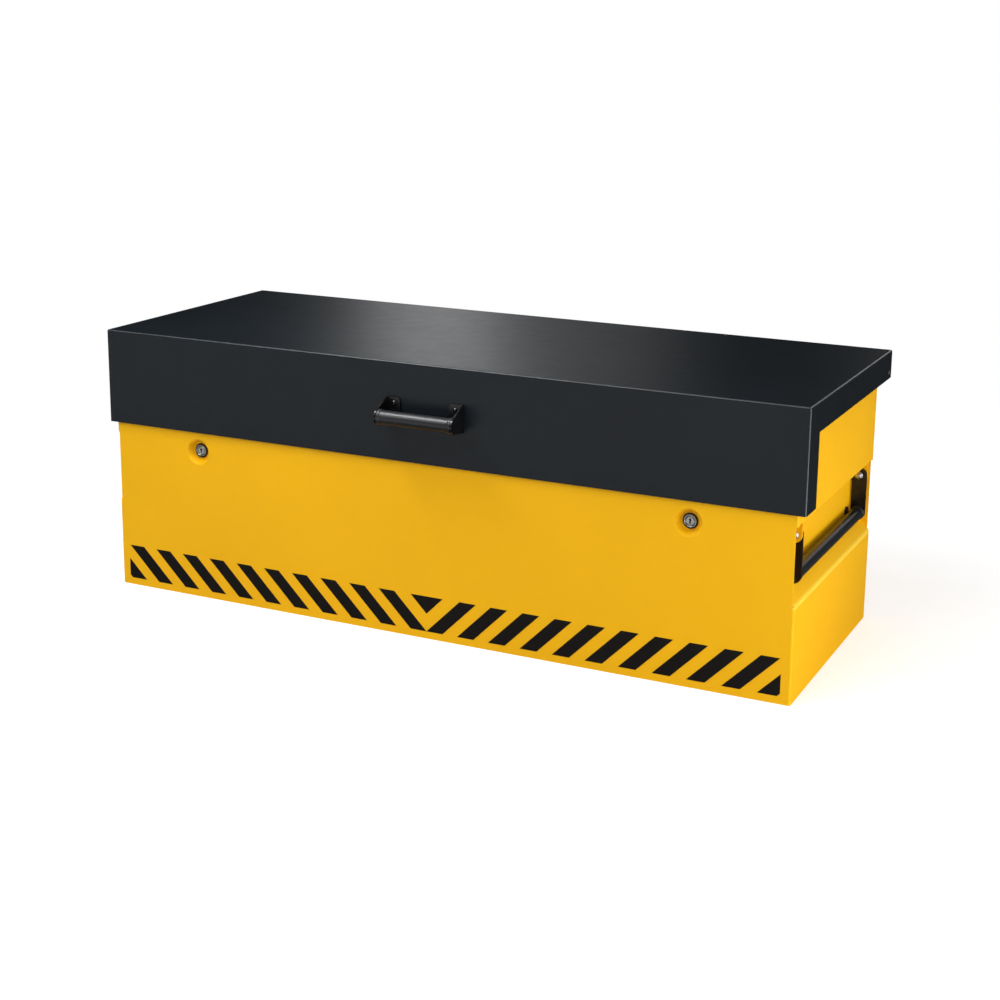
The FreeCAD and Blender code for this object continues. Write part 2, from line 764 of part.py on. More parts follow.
def lid_shell():
    """The lid's skin: top, deep front skirt with its returns, and shallow flanges."""
    up = Vector(0, 0, 1)
    outer = block(-lid_half, lid_half, lid_front, lid_back, skirt_bottom, overall_height)
    outer = rounded(outer, lid_fold, lambda c, e: runs_along(e, up) or near(c.z, overall_height))
    inner = block(-lid_half + lid_sheet, lid_half - lid_sheet, lid_front + lid_sheet,
                  lid_back - lid_sheet, skirt_bottom - 1, lid_under)
    inner = rounded(inner, lid_fold - lid_sheet,
                    lambda c, e: runs_along(e, up) or near(c.z, lid_under))
    shell = outer.cut(inner)
    shell = shell.cut(block(-lid_half - 1, lid_half + 1, lid_front + skirt_return, lid_back + 1,
                            skirt_bottom - 1, overall_height - flange_height))
    shell = shell.cut(rod_x(hinge_rod_radius, -lid_half - 1, lid_half + 1, hinge_y, hinge_z))
    for x, z in rivet_places():
        shell = shell.cut(rod_y(rivet_radius, lid_front - 1, lid_front + lid_sheet + 1, x, z))
    return shell


def lid_rib(y):
    """A top-hat stiffener welded along the inside of the lid."""
    half = rib_crown / 2
    foot_z = lid_under - rib_sheet
    low = foot_z - rib_depth
    path = [(y - half - rib_foot, foot_z), (y - half, foot_z), (y - half, low), (y + half, low),
            (y + half, foot_z), (y + half + rib_foot, foot_z)]
    reach = half_body - rib_end
    place = lambda a, b: Vector(-reach, a, b)
    return folded(path, rib_sheet, place, Vector(2 * reach, 0, 0))


def pull_bracket():
    """A folded bracket: a riveted flange and a web that narrows to a round nose."""
    outer_x = pull_width / 2
    web_x = outer_x - pull_plate
    nose = (lid_front - pull_reach, pull_bar_height)
    top = pull_base + pull_height
    shoulder = (lid_front - pull_plate - 2 * bend, top)
    heel = (lid_front, pull_base)
    touch_top = tangent_point(shoulder, nose, pull_nose, -1)
    touch_heel = tangent_point(heel, nose, pull_nose, 1)
    corners = [heel, (lid_front, top), shoulder, touch_top, nose, touch_heel, heel]
    wire = Part.makePolygon([Vector(web_x, y, z) for y, z in corners])
    web = Part.Face(wire).extrude(Vector(pull_plate, 0, 0))
    end = rod_x(pull_nose, web_x, outer_x, *nose)
    flange = block(outer_x - pull_flange, outer_x, lid_front - pull_plate, lid_front, pull_base, top)
    across = Vector(0, 1, 0)
    flange = rounded(flange, pull_corner, lambda c, e: runs_along(e, across)
                     and near(c.x, outer_x - pull_flange))
    bracket = fused([web, end, flange])
    for x, z in rivet_places():
        if x > 0:
            bracket = bracket.cut(rod_y(rivet_radius, lid_front - pull_plate - 1, lid_front + 1, x, z))
    return bracket


def pull_bar():
    """The steel tube welded between the two brackets."""
    half = pull_width / 2 - pull_plate
    y = lid_front - pull_reach
    tube = rod_x(bar_radius, -half, half, y, pull_bar_height)
    return tube.cut(rod_x(bar_radius - bar_wall, -half - 1, half + 1, y, pull_bar_height))


def pull_grip():
    """The sleeve on the pull handle."""
    length = pull_width - 2 * pull_plate
    sleeve = grip_tube(pull_grip_radius, bar_radius, length, 0, 0)
    sleeve.rotate(Vector(0, 0, 0), Vector(0, 0, 1), 90)
    sleeve.translate(Vector(0, lid_front - pull_reach, pull_bar_height))
    return sleeve


def pull_rivets():
    """Dome-headed rivets through the brackets and the skirt."""
    rivets = []
    outer = lid_front - pull_plate
    inner = lid_front + lid_sheet
    for x, z in rivet_places():
        shank = rod_y(rivet_radius, outer, inner, x, z)
        head = rod_y(rivet_head, outer - rivet_height, outer, x, z)
        head = chamfered(head, rivet_bevel, lambda c, e: near(c.y, outer - rivet_height))
        tail = rod_y(rivet_tail_radius, inner, inner + rivet_tail, x, z)
        rivets.append(fused([shank, head, tail]))
    return rivets


# ---- hinge -----------------------------------------------------------------------------

def hinge_bolt_places(x):
    """X and Z of the bolts of one bracket."""
    return [(x + a * hinge_bolt_side, hinge_z + b * hinge_bolt_reach) for a in (-1, 1) for b in (-1, 1)]


def hinge_bracket(x):
    """A plate on the back wall with two ears that the hinge rod turns in."""
    low = hinge_z - hinge_plate_height / 2
    high = hinge_z + hinge_plate_height / 2
    face = body_back + hinge_plate
    plate = block(x - bracket_half, x + bracket_half, body_back, face, low, high)
    ears = []
    for x0 in (x - bracket_half, x + bracket_half - hinge_plate):
        ears.append(ear_plate((body_back, high - hinge_ear_step), (body_back, low + hinge_ear_step),
                              (hinge_y, hinge_z),
                              hinge_knuckle, 0, x0, x0 + hinge_plate))
    bracket = fused([plate] + ears)
    bracket = bracket.cut(rod_x(hinge_rod_radius + running, x - bracket_half - 1,
                                x + bracket_half + 1, hinge_y, hinge_z))
    for bx, bz in hinge_bolt_places(x):
        bracket = bracket.cut(rod_y(hinge_bolt_radius, body_back - 1, face + 1, bx, bz))
    return bracket


def hinge_lug(x):
    """A plate under the lid with two ears fixed to the hinge rod."""
    foot_z = lid_under - hinge_plate
    y0 = hinge_y - lug_front
    y1 = lid_back - lug_clear
    plate = block(x - lug_half, x + lug_half, y0, y1, foot_z, lid_under)
    ears = []
    for x0 in (x - lug_half, x + lug_half - hinge_plate):
        ears.append(ear_plate((y1, foot_z), (y0, foot_z), (hinge_y, hinge_z),
                              hinge_knuckle, 0, x0, x0 + hinge_plate))
    lug = fused([plate] + ears)
    return lug.cut(rod_x(hinge_rod_radius, x - lug_half - 1, x + lug_half + 1, hinge_y, hinge_z))


def hinge_rod():
    """One rod from end to end of the lid."""
    rod = rod_x(hinge_rod_radius, -lid_half, lid_half, hinge_y, hinge_z)
    return chamfered(rod, hinge_rod_bevel, lambda c, e: near(abs(c.x), lid_half))


def hinge_small_parts():
    """Nylon bushes between the ears, and clips inside the lid's side flanges."""
    bushes = []
    clips = []
    inner = lug_half + touch_gap
    outer = bracket_half - hinge_plate - touch_gap
    for x in hinge_places:
        for x0, x1 in ((x - outer, x - inner), (x + inner, x + outer)):
            tube = rod_x(bush_radius, x0, x1, hinge_y, hinge_z)
            bushes.append(tube.cut(rod_x(hinge_rod_radius, x0 - 1, x1 + 1, hinge_y, hinge_z)))
    for side in (-1, 1):
        x0, x1 = sorted((side * (lid_half - lid_sheet), side * (lid_half - lid_sheet - clip_thick)))
        disc = rod_x(clip_radius, x0, x1, hinge_y, hinge_z)
        clips.append(disc.cut(rod_x(hinge_rod_radius, x0 - 1, x1 + 1, hinge_y, hinge_z)))
    return bushes, clips


def hinge_bolts():
    """Bolts through each bracket and the back wall, and their nuts inside."""
    bolts = []
    face = body_back + hinge_plate
    for station in hinge_places:
        for x, z in hinge_bolt_places(station):
            shank = rod_y(hinge_bolt_radius, back_inside, face, x, z)
            head = hexagon_y(hinge_bolt_flats, face, face + hinge_bolt_head, x, z)
            nut = hexagon_y(hinge_bolt_flats, back_inside - hinge_nut, back_inside, x, z)
            bolts.append(fused([shank, head, nut]))
    return bolts


# ---- gas struts ------------------------------------------------------------------------

def strut_foot():
    """A plate on the trough wall with the stud that the strut stands on."""
    wide = strut_plate_width / 2
    high = strut_plate_height / 2
    plate = block(wall_inside - strut_plate, wall_inside, strut_y - wide, strut_y + wide,
                  strut_foot_z - high, strut_foot_z + high)
    plate = rounded(plate, strut_plate_round, lambda c, e: runs_along(e, Vector(1, 0, 0)))
    shoulder = rod_x(strut_eye, strut_offset + strut_eye_half + touch_gap, wall_inside - strut_plate,
                     strut_y, strut_foot_z)
    stud_end = strut_offset - strut_eye_half - touch_gap - clip_thick
    stud = rod_x(strut_pin_radius, stud_end, wall_inside - strut_plate, strut_y, strut_foot_z)
    clip = rod_x(strut_clip_radius, stud_end, stud_end + clip_thick, strut_y, strut_foot_z)
    return fused([plate, shoulder, stud, clip])


def strut_cylinder():
    """The strut's pressure tube with an eye at its foot."""
    x = strut_offset
    y = strut_y
    z = strut_foot_z
    eye = rod_x(strut_eye, x - strut_eye_half, x + strut_eye_half, y, z)
    neck = rod_z(strut_neck, z, z + strut_eye + strut_cap, x, y)
    start = z + strut_eye + strut_cap / 2
    end = z + strut_tube_length
    tube = rod_z(strut_tube_radius, start, end, x, y)
    shape = fused([eye, neck, tube])
    shape = shape.cut(rod_x(strut_pin_radius + running, x - strut_eye, x + strut_eye, y, z))
    shape = shape.cut(rod_z(strut_bore, start + strut_cap, end - strut_cap, x, y))
    return shape.cut(rod_z(strut_rod_radius + running, end - strut_cap - 1, end + 1, x, y))


def strut_rod():
    """The piston rod with its eye and the pin beside the lid's bracket."""
    x = strut_offset
    y = strut_y
    z = strut_head_z
    eye = rod_x(strut_eye, x - strut_eye_half, x + strut_eye_half, y, z)
    neck = rod_z(strut_neck, z - strut_eye - strut_cap, z, x, y)
    low = strut_foot_z + strut_eye + 2 * strut_cap
    rod = rod_z(strut_rod_radius, low, z, x, y)
    piston = rod_z(strut_bore - running, low, low + strut_piston, x, y)
    head = rod_x(strut_head_radius, x - strut_eye_half - clip_thick, x + strut_eye_half, y, z)
    shoulder = rod_x(strut_pin_radius, x, x + strut_eye_half + clip_thick, y, z)
    return fused([eye, neck, rod, piston, head, shoulder])


def strut_lid_bracket():
    """An angle under the lid whose ear stands beside the strut's pin."""
    x = strut_offset + strut_eye_half + clip_thick + touch_gap
    y0 = strut_y - strut_foot_width / 2
    y1 = strut_y + strut_foot_width / 2
    foot_z = lid_under - strut_ear
    ear = ear_plate((y1, foot_z), (y0, foot_z), (strut_y, strut_head_z), strut_ear_radius, 0,
                    x, x + strut_ear)
    foot = block(x, x + strut_foot_reach, y0, y1, foot_z, lid_under)
    return fused([ear, foot])


# ---- the whole box -------------------------------------------------------------------

os.makedirs("parts", exist_ok=True)

save("base_pan", base_pan())
save("front_panel", wall_panel(True))
save("back_panel", wall_panel(False))
save_pair("end_panel", end_panel())
save("rim_channel", rim_channel())
save("rim_seal", rim_seal())

ears = handle_ears()
save("handle_ears_right", ears)
save("handle_ears_left", [mirrored(e) for e in ears])
save_pair("bail_frame", bail_frame())
save_pair("bail_grip", grip_tube(grip_radius, bar_radius, 2 * arm_inner, pivot_x, bar_height))
pivot_bolts, pivot_nuts = bail_pivots()
save("bail_pivot_bolts", pivot_bolts + [mirrored(s) for s in pivot_bolts])
save("bail_pivot_nuts", pivot_nuts + [mirrored(s) for s in pivot_nuts])
bumpers = handle_bumpers()
save("handle_bumpers", bumpers + [mirrored(s) for s in bumpers])

save_pair("lock_cylinder", lock_cylinder())
save_pair("lock_plug", lock_plug())
save_pair("lock_cam", lock_cam())
save_pair("lock_lever", lock_lever())
save_pair("lock_case", lock_case())
save("lock_gaskets", [lock_gasket(), mirrored(lock_gasket())])
save("lock_nuts", [lock_nut(), mirrored(lock_nut())])
save("lock_pivots", [lock_pivot(), mirrored(lock_pivot())])

save("lid_shell", lid_shell())
save("lid_rib_front", lid_rib(-rib_offset))
save("lid_rib_back", lid_rib(rib_offset))
save_pair("striker", striker())
save_pair("pull_bracket", pull_bracket())
save("pull_bar", pull_bar())
save("pull_grip", pull_grip())
save("pull_rivets", pull_rivets())

for name, x in zip(("left", "middle", "right"), hinge_places):
    save("hinge_bracket_" + name, hinge_bracket(x))
    save("hinge_lug_" + name, hinge_lug(x))
save("hinge_rod", hinge_rod())
hinge_bushes, hinge_clips = hinge_small_parts()
save("hinge_bushes", hinge_bushes)
save("hinge_clips", hinge_clips)
save("hinge_bolts", hinge_bolts())

save_pair("strut_foot", strut_foot())
save_pair("strut_cylinder", strut_cylinder())
save_pair("strut_rod", strut_rod())
save_pair("strut_lid_bracket", strut_lid_bracket())

open_angle = math.radians(lid_opens)
rise, run = strut_head_rise, -strut_foot_back
head_y = hinge_y + run * math.cos(open_angle) + rise * math.sin(open_angle)
head_z = hinge_z - run * math.sin(open_angle) + rise * math.cos(open_angle)
length_open = math.hypot(head_y - strut_y, head_z - strut_foot_z)
angle_open = 90 - math.degrees(math.atan2(head_z - strut_foot_z, head_y - strut_y))
print("lever swing", 2 * half_swing, "per key turn", 2 * half_swing / key_turn)
print("strut slide", length_open - (strut_head_z - strut_foot_z), "strut swing", angle_open)
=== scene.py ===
import json
import math

import bmesh
import bpy
from mathutils import Matrix, Vector

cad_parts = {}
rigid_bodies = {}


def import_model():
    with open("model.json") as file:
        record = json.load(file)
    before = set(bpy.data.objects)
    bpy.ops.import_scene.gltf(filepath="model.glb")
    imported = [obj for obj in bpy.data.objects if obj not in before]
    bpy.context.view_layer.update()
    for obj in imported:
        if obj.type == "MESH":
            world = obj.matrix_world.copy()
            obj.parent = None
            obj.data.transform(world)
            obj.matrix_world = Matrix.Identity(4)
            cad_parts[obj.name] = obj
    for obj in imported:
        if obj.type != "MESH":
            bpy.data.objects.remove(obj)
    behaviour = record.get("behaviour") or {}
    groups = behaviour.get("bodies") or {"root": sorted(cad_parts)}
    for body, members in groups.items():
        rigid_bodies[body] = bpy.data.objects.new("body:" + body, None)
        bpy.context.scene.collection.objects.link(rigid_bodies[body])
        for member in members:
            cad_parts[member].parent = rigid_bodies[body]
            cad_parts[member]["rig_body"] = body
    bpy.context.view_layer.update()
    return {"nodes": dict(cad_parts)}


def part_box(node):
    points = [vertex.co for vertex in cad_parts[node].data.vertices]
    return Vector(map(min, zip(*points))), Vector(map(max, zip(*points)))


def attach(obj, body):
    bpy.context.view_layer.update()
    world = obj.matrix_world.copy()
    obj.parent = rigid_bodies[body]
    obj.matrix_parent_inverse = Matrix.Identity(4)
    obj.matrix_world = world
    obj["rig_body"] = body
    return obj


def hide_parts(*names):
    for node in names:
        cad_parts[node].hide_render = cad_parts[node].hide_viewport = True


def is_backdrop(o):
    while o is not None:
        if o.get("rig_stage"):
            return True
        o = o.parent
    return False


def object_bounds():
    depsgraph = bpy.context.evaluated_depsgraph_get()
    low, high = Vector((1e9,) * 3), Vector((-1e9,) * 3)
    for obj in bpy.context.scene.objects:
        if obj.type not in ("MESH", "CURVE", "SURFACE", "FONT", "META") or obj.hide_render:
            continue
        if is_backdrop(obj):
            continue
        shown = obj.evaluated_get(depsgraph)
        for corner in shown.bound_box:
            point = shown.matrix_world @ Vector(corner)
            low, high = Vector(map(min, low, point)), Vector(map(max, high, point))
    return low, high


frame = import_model()
nodes = frame["nodes"]


# ---- body sheet metal ---------------------------------------------------------------
# Floor pan, four walls, the folded rim and the lock cases, cut from 2 mm steel and
# welded. The whole body is powder coated yellow after welding, so one coat covers it; the
# round of the fold under each trough is painted paler yellow, a painted highlight.

MM = 0.001
BODY_PANELS = ("base_pan", "front_panel", "back_panel", "end_panel_left", "end_panel_right",
               "rim_channel", "lock_case_left", "lock_case_right")


class Wire:
    """An output of a node. Sums and products of wires add Math nodes."""

    def __init__(self, finish, socket):
        self.finish = finish
        self.socket = socket

    def work(self, operation, first, second):
        return self.finish.node("Math", {"operation": operation}, {0: first, 1: second})

    def __add__(self, other):
        return self.work("ADD", self, other)

    def __sub__(self, other):
        return self.work("SUBTRACT", self, other)

    def __rsub__(self, other):
        return self.work("SUBTRACT", other, self)

    def __mul__(self, other):
        return self.work("MULTIPLY", self, other)

    __radd__ = __add__
    __rmul__ = __mul__

    def __abs__(self):
        return self.work("ABSOLUTE", self, 0.0)

    def least(self, other):
        return self.work("MINIMUM", self, other)

    def most(self, other):
        return self.work("MAXIMUM", self, other)

    def ramp(self, low, high):
        """0 up to low, 1 from high, smooth between; high may be the smaller."""
        return self.finish.node("MapRange", {"interpolation_type": "SMOOTHSTEP"},
                                {0: self, 1: low, 2: high, 3: 0.0, 4: 1.0})


class Finish:
    """The nodes of one material, world or geometry tree, and the one way to add a node."""

    def __init__(self, tree):
        self.tree = tree
        self.place = None

    def node(self, kind, settings=None, sockets=None, out=0):
        made = self.tree.nodes.new(kind if "Node" in kind else "ShaderNode" + kind)
        for name, value in (settings or {}).items():
            setattr(made, name, value)
        for key, value in (sockets or {}).items():
            self.feed(made.inputs[key], value)
        return Wire(self, made.outputs[out]) if len(made.outputs) else None

    def feed(self, socket, value):
        if isinstance(value, Wire):
            self.tree.links.new(value.socket, socket)
        else:
            socket.default_value = value

    def vary(self, colour, roughness, normal):
        """Feeds the three sockets of the shader that change over every surface."""
        for name, value in (("Base Color", colour), ("Roughness", roughness), ("Normal", normal)):
            self.feed(self.shader[name], value)

    def where(self):
        """Object coordinates, which are metres in the box's own frame on every piece."""
        if self.place is None:
            self.place = self.node("TexCoord", out=3)
        return self.place

    def axis(self, index):
        return self.node("SeparateXYZ", sockets={0: self.where()}, out=index)

    def noise(self, scale, detail=2.0):
        return self.node("TexNoise", sockets={"Vector": self.where(), "Scale": scale, "Detail": detail})

    def blend(self, share, first, second):
        """A colour between two."""
        ends = [c if isinstance(c, Wire) else c + (1.0,) for c in (first, second)]
        return self.node("Mix", {"data_type": "RGBA"}, {0: share, 6: ends[0], 7: ends[1]}, out=2)

    def bump(self, height, strength, depth, under=None):
        sockets = {"Height": height, "Strength": strength, "Distance": depth}
        if under:
            sockets["Normal"] = under
        return self.node("Bump", sockets=sockets)


def new_finish(name, slot=None, **constants):
    """A Principled material for one slot; its constants are set on the shader's own sockets."""
    material = bpy.data.materials.new(name)
    material.use_nodes = True
    finish = Finish(material.node_tree)
    finish.material = material
    finish.slot = slot
    finish.shader = material.node_tree.nodes["Principled BSDF"].inputs
    for socket, value in constants.items():
        finish.shader[socket.replace("_", " ")].default_value = value
    return finish


def powder_coat(name, slot, light, dark, roughness, specular, grain):
    """Baked powder: faint colour drift, an orange-peel skin and slow waves of the sheet."""
    paint = new_finish(name, slot, Specular_IOR_Level=specular)
    paint.colour = paint.blend(paint.noise(3.2, 3.0).ramp(0.3, 0.7), dark, light)
    sheet = paint.bump(paint.noise(2.4, 1.0), 0.08, 0.004)
    paint.vary(paint.colour, roughness + (paint.noise(38.0, 4.0) - 0.5) * 0.08,
               paint.bump(paint.noise(520.0, 1.5), grain, 0.0002, sheet))
    return paint


def coat(paint, *names):
    """Gives CAD nodes a finish."""
    for name in names:
        for slot in nodes[name].material_slots:
            slot.material = paint.material


body_paint = powder_coat("yellow powder coat", "body_yellow", (0.86, 0.452, 0.006),
                         (0.83, 0.432, 0.006), roughness=0.42, specular=0.11, grain=0.25)
# Painted highlight: the round of the fold under each trough is blended to a paler yellow.
FOLD_X, FOLD_Z, FOLD_HIGHLIGHT_REACH = 654.5 * MM, 164.5 * MM, 5.5 * MM
highlight_off_fold = abs(abs(body_paint.axis(0)) - FOLD_X).most(abs(body_paint.axis(2) - FOLD_Z))
body_paint.feed(body_paint.shader["Base Color"],
                body_paint.blend(highlight_off_fold.ramp(FOLD_HIGHLIGHT_REACH, FOLD_HIGHLIGHT_REACH * 0.3), body_paint.colour,
                                 (0.95, 0.60, 0.05)))
coat(body_paint, *BODY_PANELS)


# ---- spot welds of the lock cases -------------------------------------------------------
# Each lock case is a folded guard whose two flanges are spot-welded to the front wall.
# The welds show inside the box as shallow round pips under the yellow coat.

NO_STEP = (1, (0.0, 0.0, 0.0))
LEVELS = ("Row", "Column", "Station")
SHARP_EDGE = math.radians(38)


def added(name, data):
    """A new object in the scene."""
    made = bpy.data.objects.new(name, data)
    bpy.context.scene.collection.objects.link(made)
    return made


def meshed(shape):
    """The mesh of a shape that is done."""
    mesh = bpy.data.meshes.new("part")
    shape.to_mesh(mesh)
    shape.free()
    return mesh


def smoothed(mesh):
    """Shades a part smooth between its sharp edges."""
    mesh.shade_smooth()
    mesh.set_sharp_from_angle(angle=SHARP_EDGE)
    return mesh


def turned(profile, steps=48, loop=False):
    """A turned part about the Y axis, from (radius, distance) pairs in millimetres.

    A third value makes that ring a polygon of so many sides, with the radius across half
    its flats, and a fourth limits its corners. A loop is a hollow part.
    """
    shape = bmesh.new()
    rings = []
    for radius, along, *polygon in profile:
        sides = polygon[0] if polygon else 0
        limit = polygon[1] if len(polygon) > 1 else math.inf
        ring = []
        for i in range(steps if radius else 1):
            angle = 2 * math.pi * i / steps
            part = 2 * math.pi / sides if sides else 0.0
            reach = min(radius / math.cos(angle % part - part / 2), limit) if sides else radius
            ring.append(shape.verts.new((reach * math.sin(angle) * MM, along * MM,
                                         reach * math.cos(angle) * MM)))
        rings.append(ring)
    for first, second in list(zip(rings, rings[1:])) + ([(rings[-1], rings[0])] if loop else []):
        for i in range(steps):
            j = (i + 1) % steps
            corners = [first[i % len(first)], first[j % len(first)],
                       second[j % len(second)], second[i % len(second)]]
            shape.faces.new(list(dict.fromkeys(corners)))
    bmesh.ops.recalc_face_normals(shape, faces=shape.faces)
    return smoothed(meshed(shape))


def worked(mesh, *steps):
    """The plain mesh that is left after some modifiers, each a kind and its settings."""
    holder = added("work", mesh)
    for kind, settings in steps:
        modifier = holder.modifiers.new(kind, kind)
        inputs = settings.pop("inputs", {})
        for name, value in settings.items():
            setattr(modifier, name, value)
        for item in modifier.node_group.interface.items_tree if inputs else ():
            if item.name in inputs:
                modifier[item.identifier] = inputs[item.name]
    bpy.context.view_layer.update()
    seen = holder.evaluated_get(bpy.context.evaluated_depsgraph_get())
    made = bpy.data.meshes.new_from_object(seen)
    holder.modifiers.clear()
    bpy.data.objects.remove(holder)
    return made


def new_tree(name, sockets):
    """A Geometry Nodes tree, and what each of its named inputs gives."""
    tree = bpy.data.node_groups.new(name, "GeometryNodeTree")
    for label, kind in sockets:
        tree.interface.new_socket(label, in_out="INPUT", socket_type="NodeSocket" + kind)
    tree.interface.new_socket("Parts", in_out="OUTPUT", socket_type="NodeSocketGeometry")
    work = Finish(tree)
    return work, {label: work.node("NodeGroupInput", out=label) for label, kind in sockets}


def ended_tree(work, parts, start, material):
    """Ends a tree: the parts go to their start, are made real and get their finish."""
    parts = work.node("GeometryNodeTransform", sockets={"Geometry": parts, "Translation": start})
    parts = work.node("GeometryNodeRealizeInstances", sockets={"Geometry": parts})
    parts = work.node("GeometryNodeSetMaterial", sockets={"Geometry": parts, "Material": material})
    work.node("NodeGroupOutput", sockets={0: parts})
    return work.tree


def rows_tree():
    """Repeats a part in rows, columns and stations; each next row may also be turned."""
    sockets = [("Part", "Geometry"), ("Material", "Material"), ("Start", "Vector"),
               ("Row Turn", "Vector")]
    for level in LEVELS:
        sockets += [(level + " Count", "Int"), (level + " Step", "Vector")]
    work, given = new_tree("rows of parts", sockets)
    index = work.node("GeometryNodeInputIndex")
    turn = work.node("VectorMath", {"operation": "SCALE"}, {0: given["Row Turn"], "Scale": index})
    turn = work.node("FunctionNodeEulerToRotation", sockets={0: turn})
    parts = given["Part"]
    for level in LEVELS:
        line = work.node("GeometryNodeMeshLine", {"mode": "OFFSET"},
                         {"Count": given[level + " Count"], "Offset": given[level + " Step"]})
        places = {"Points": line, "Instance": parts}
        if level == "Row":
            places["Rotation"] = turn
        parts = work.node("GeometryNodeInstanceOnPoints", sockets=places)
    return ended_tree(work, parts, given["Start"], given["Material"])


ROWS = rows_tree()


def repeated(part, paint, start, row=NO_STEP, column=NO_STEP, station=NO_STEP, turn=(0.0, 0.0, 0.0)):
    """Copies of a part; a row, a column or a station is a number of copies and a step."""
    inputs = {"Material": paint.material, "Start": start, "Row Turn": turn}
    for level, (count, step) in zip(LEVELS, (row, column, station)):
        inputs[level + " Count"] = count
        inputs[level + " Step"] = step
    return worked(part, ("NODES", {"node_group": ROWS, "inputs": inputs}))


def fitted(name, mesh, paint, body, *stands_for):
    """Fixes a finished mesh to a body of the box, in place of its CAD nodes if it has any."""
    piece = added(name, mesh)
    mesh.materials.clear()
    mesh.materials.append(paint.material)
    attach(piece, body)
    if stands_for:
        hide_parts(*stands_for)


PIP_OUTLINE = [(0, -0.2), (3.2, -0.2), (3.2, 0.0), (2.5, 0.22), (1.2, 0.3), (0, 0.26)]
CASE_SHEET = 2 * MM
CASE_WELD_EDGE, CASE_WELD_FOOT, CASE_WELD_STEP = 6 * MM, 16 * MM, 31 * MM
weld_pip = turned(PIP_OUTLINE, steps=16)
case_low, case_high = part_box("lock_case_right")
case_span = case_high.x - case_low.x - 2 * CASE_WELD_EDGE
pips = repeated(weld_pip, body_paint,
                (case_low.x + CASE_WELD_EDGE, case_low.y + CASE_SHEET, case_low.z + CASE_WELD_FOOT),
                row=(4, (0, 0, CASE_WELD_STEP)), column=(2, (case_span, 0, 0)),
                station=(2, (-case_low.x - case_high.x, 0, 0)))
fitted("case_spot_welds", pips, body_paint, "box")


# ---- hazard stripes ------------------------------------------------------------------
# Black vinyl film along the foot of the front wall: ten leaning bars each side of a
# small triangle, and a trimmed piece at each corner. The film is 0.15 mm thick.

STRIPE_LOW, STRIPE_HIGH = 13.3 * MM, 77.5 * MM
STRIPE_PITCH, STRIPE_WIDTH, STRIPE_COUNT = 60 * MM, 31.6 * MM, 10
STRIPE_END, STRIPE_TRIM = 638 * MM, 5 * MM
FILM, FILM_SUNK = 0.15 * MM, 0.075 * MM
front_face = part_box("front_panel")[0].y


def film(*outline):
    """A flat patch of film from its (x, z) corners, with its back just inside the wall's face."""
    shape = bmesh.new()
    flat = shape.faces.new([shape.verts.new((x, front_face - FILM, z)) for x, z in outline])
    grown = bmesh.ops.extrude_face_region(shape, geom=[flat])
    moved = [v for v in grown["geom"] if isinstance(v, bmesh.types.BMVert)]
    bmesh.ops.translate(shape, verts=moved, vec=(0, FILM + FILM_SUNK, 0))
    bmesh.ops.recalc_face_normals(shape, faces=shape.faces)
    return meshed(shape)


def joined(*meshes):
    """One mesh from several, which all have one finish."""
    shape = bmesh.new()
    for mesh in meshes:
        shape.from_mesh(mesh)
    return meshed(shape)


vinyl = new_finish("black vinyl film", "gloss_black", Specular_IOR_Level=0.12)
vinyl.vary(vinyl.blend(vinyl.noise(9.0, 3.0), (0.0090, 0.0078, 0.0072), (0.0115, 0.0100, 0.0094)),
           0.42 + vinyl.noise(60.0, 3.0) * 0.12,
           vinyl.bump(vinyl.noise(380.0, 1.0), 0.12, 0.0002))

lean = STRIPE_HIGH - STRIPE_LOW
last_foot = STRIPE_COUNT * STRIPE_PITCH
patches = [film((-STRIPE_WIDTH, STRIPE_HIGH), (STRIPE_WIDTH, STRIPE_HIGH),
                (0, STRIPE_HIGH - STRIPE_WIDTH))]
for side in (-1, 1):
    bar = film((0, STRIPE_LOW), (side * STRIPE_WIDTH, STRIPE_LOW),
               (side * (STRIPE_WIDTH + lean), STRIPE_HIGH), (side * lean, STRIPE_HIGH))
    patches.append(repeated(bar, vinyl, (0, 0, 0), row=(STRIPE_COUNT, (side * STRIPE_PITCH, 0, 0))))
    patches.append(film((side * last_foot, STRIPE_LOW), (side * (STRIPE_END - STRIPE_TRIM), STRIPE_LOW),
                        (side * STRIPE_END, STRIPE_LOW + STRIPE_TRIM),
                        (side * STRIPE_END, STRIPE_LOW + STRIPE_END - last_foot)))
fitted("hazard_stripes", joined(*patches), vinyl, "box")


# ---- rim seal --------------------------------------------------------------------------
# An extruded rubber bulb glued round the folded rim, which the lid presses on. Its profile
# is given by its right-hand side and its crown, in millimetres.

SEAL_SIDE = [(6.0, 0.0), (6.0, 5.0), (5.6, 8.0), (4.6, 10.6), (2.7, 12.8)]
SEAL_CROWN = (0.0, 13.7)
SEAL_CORNER = 16 * MM
MERGE = 0.002 * MM


def seal_tree():
    """Sweeps a profile round a frame with rounded corners."""
    work, given = new_tree("seal round a frame", [
        ("Profile", "Geometry"), ("Width", "Float"), ("Depth", "Float"), ("Corner", "Float"),
        ("Place", "Vector"), ("Material", "Material")])
    path = work.node("GeometryNodeCurvePrimitiveQuadrilateral", {"mode": "RECTANGLE"},
                     {"Width": given["Width"], "Height": given["Depth"]})
    path = work.node("GeometryNodeFilletCurve", {"mode": "POLY"},
                     {"Curve": path, "Radius": given["Corner"], "Count": 8})
    path = work.node("GeometryNodeSetCurveNormal", {"mode": "Z_UP"}, {"Curve": path})
    profile = work.node("GeometryNodeMeshToCurve", sockets={"Mesh": given["Profile"]})
    seal = work.node("GeometryNodeCurveToMesh", sockets={"Curve": path, "Profile Curve": profile})
    return ended_tree(work, seal, given["Place"], given["Material"])


